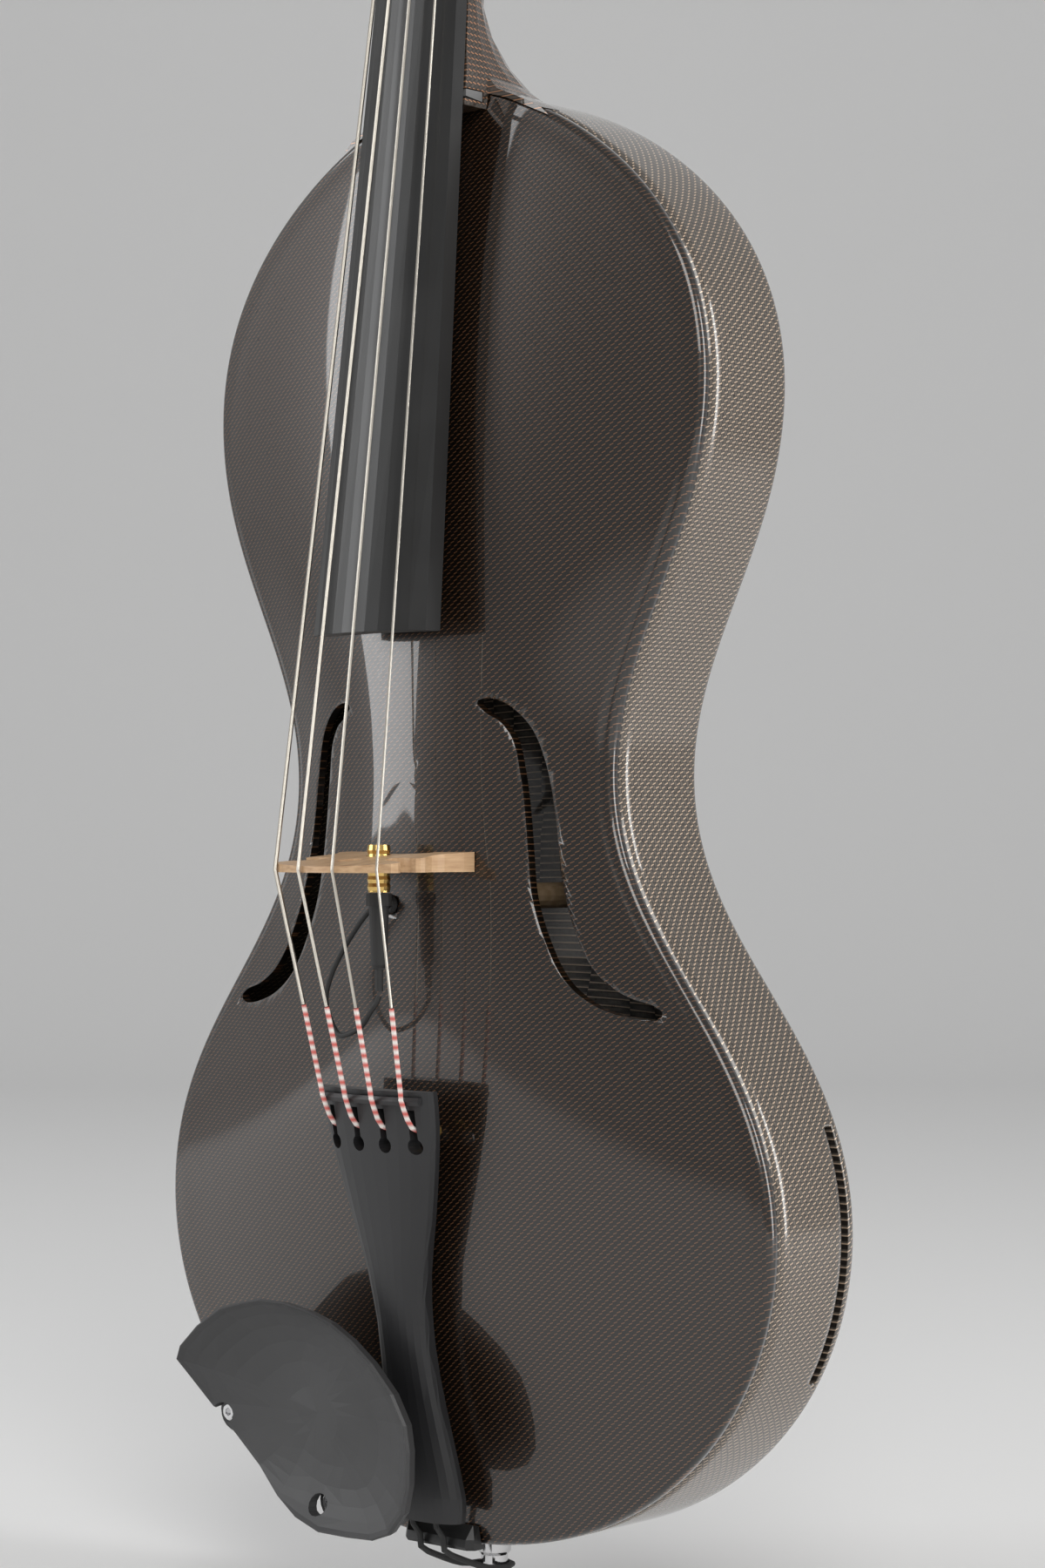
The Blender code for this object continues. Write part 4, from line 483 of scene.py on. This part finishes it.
for side in (-1, 1):
    loop = slot * [side, 1.0] + [0.0, BODY_Z]
    cut(shell, cutter("slot", loop, SLOT_Y - SLOT_WIDTH / 2, SLOT_Y + SLOT_WIDTH / 2))
pin_hole = cutter("pin_hole", circle(PIN_HOLE_RADIUS, 32), *PIN_HOLE_CUT)
pin_hole.rotation_euler = (math.pi / 2, 0.0, 0.0)
bpy.context.view_layer.update()
cut(shell, pin_hole)
for piece, node, finish in ((plate, "top_plate", "body_carbon"), (shell, "body_shell", "rib_carbon")):
    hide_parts(node)
    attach(piece, "instrument")

# Cable

CABLE_DIAMETER = 1.5
BRIDGE_Z = 208.7
LOOP_POINTS = ((0.0, -46.0, 33.9), (-0.6, -46.6, 36.1), (-2.5, -47.0, 38.5), (-6.3, -46.5, 42.4),
               (-11.9, -46.0, 44.8), (-17.0, -45.0, 45.0), (-21.4, -44.0, 40.3), (-23.2, -43.5, 35.1),
               (-22.2, -42.5, 29.1), (-19.1, -41.7, 23.1), (-15.4, -41.4, 18.1), (-10.4, -41.8, 13.1),
               (-6.6, -41.4, 9.9))
INSIDE_POINTS = ((-5.2, -38.8, 199.6), (-5.2, -35.8, 199.6), (-5.2, -31.8, 199.6), (-8.0, -20.0, 188.0),
                 (-9.0, -8.0, 150.0), (-6.0, -2.0, 100.0), (-1.0, 0.0, 72.0), (0.0, 0.0, 58.6))
hanging = [(x, y, BRIDGE_Z - under) for x, y, under in LOOP_POINTS]
route = smooth_run([*hanging, *INSIDE_POINTS], 4) * MM
curve = bpy.data.curves.new("cable_line", "CURVE")
curve.dimensions = "3D"
curve.bevel_depth = CABLE_DIAMETER / 2 * MM
curve.bevel_resolution = 4
curve.use_fill_caps = True
line = curve.splines.new("POLY")
line.points.add(len(route) - 1)
for point, place in zip(line.points, route):
    point.co = (*place, 1.0)
curve.materials.append(rubber)
cable = bpy.data.objects.new("cable_line", curve)
scene.collection.objects.link(cable)
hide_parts("pickup_cable")
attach(cable, "instrument")

# Studio, in metres

FLOOR_FRONT, FLOOR_BACK, FLOOR_SIDE = 3.0, 2.0, 6.0
FLOOR_CURVE, FLOOR_TOP, FLOOR_UNDER = 1.5, 5.0, 0.002


def area_light(name, place, aim, size, power, colour):
    """A rectangular lamp at place that faces aim."""
    made = bpy.data.lights.new(name, "AREA")
    made.shape = "RECTANGLE"
    made.size, made.size_y = size
    made.energy = power
    made.color = colour
    lamp = bpy.data.objects.new(name, made)
    scene.collection.objects.link(lamp)
    lamp.location = place
    lamp.rotation_mode = "QUATERNION"
    lamp.rotation_quaternion = (Vector(aim) - Vector(place)).to_track_quat("-Z", "Y")


def make_floor():
    """A plain floor that curves up behind the object."""
    rows = [(-FLOOR_FRONT, 0.0), (FLOOR_BACK, 0.0)]
    for a in np.linspace(0.1, math.pi / 2, 12):
        rows.append((FLOOR_BACK + FLOOR_CURVE * math.sin(a), FLOOR_CURVE - FLOOR_CURVE * math.cos(a)))
    rows.append((FLOOR_BACK + FLOOR_CURVE, FLOOR_TOP))
    verts, faces = [], []
    for depth, height in rows:
        for side in (-FLOOR_SIDE, FLOOR_SIDE):
            place = -back.normalized() * depth + level * side
            verts.append((place.x, place.y, height - FLOOR_UNDER))
    for i in range(len(rows) - 1):
        faces.append((2 * i, 2 * i + 1, 2 * i + 3, 2 * i + 2))
    mesh = bpy.data.meshes.new("floor")
    mesh.from_pydata(verts, [], faces)
    mesh.shade_smooth()
    look = Look("floor_paper", (0.86, 0.86, 0.86), 0.9)
    look.rough(look.noise(20.0), 0.85, 0.95)
    mesh.materials.append(look.made)
    floor = bpy.data.objects.new("floor", mesh)
    scene.collection.objects.link(floor)


make_floor()
world = bpy.data.worlds.new("studio")
world.use_nodes = True
world.node_tree.nodes["Background"].inputs["Color"].default_value = (1.0, 1.0, 1.0, 1.0)
world.node_tree.nodes["Background"].inputs["Strength"].default_value = 0.36
scene.world = world
area_light("key", (1.6, -1.4, 1.6), (0.0, 0.0, 0.3), (1.2, 1.6), 30.0, (1.0, 0.99, 0.97))
area_light("side", (1.6, 0.6, 0.5), (0.0, 0.0, 0.25), (0.5, 1.6), 18.0, (1.0, 1.0, 1.0))
area_light("left", (-1.4, -1.2, 0.9), (0.0, 0.0, 0.3), (0.8, 1.4), 14.0, (0.98, 0.99, 1.0))
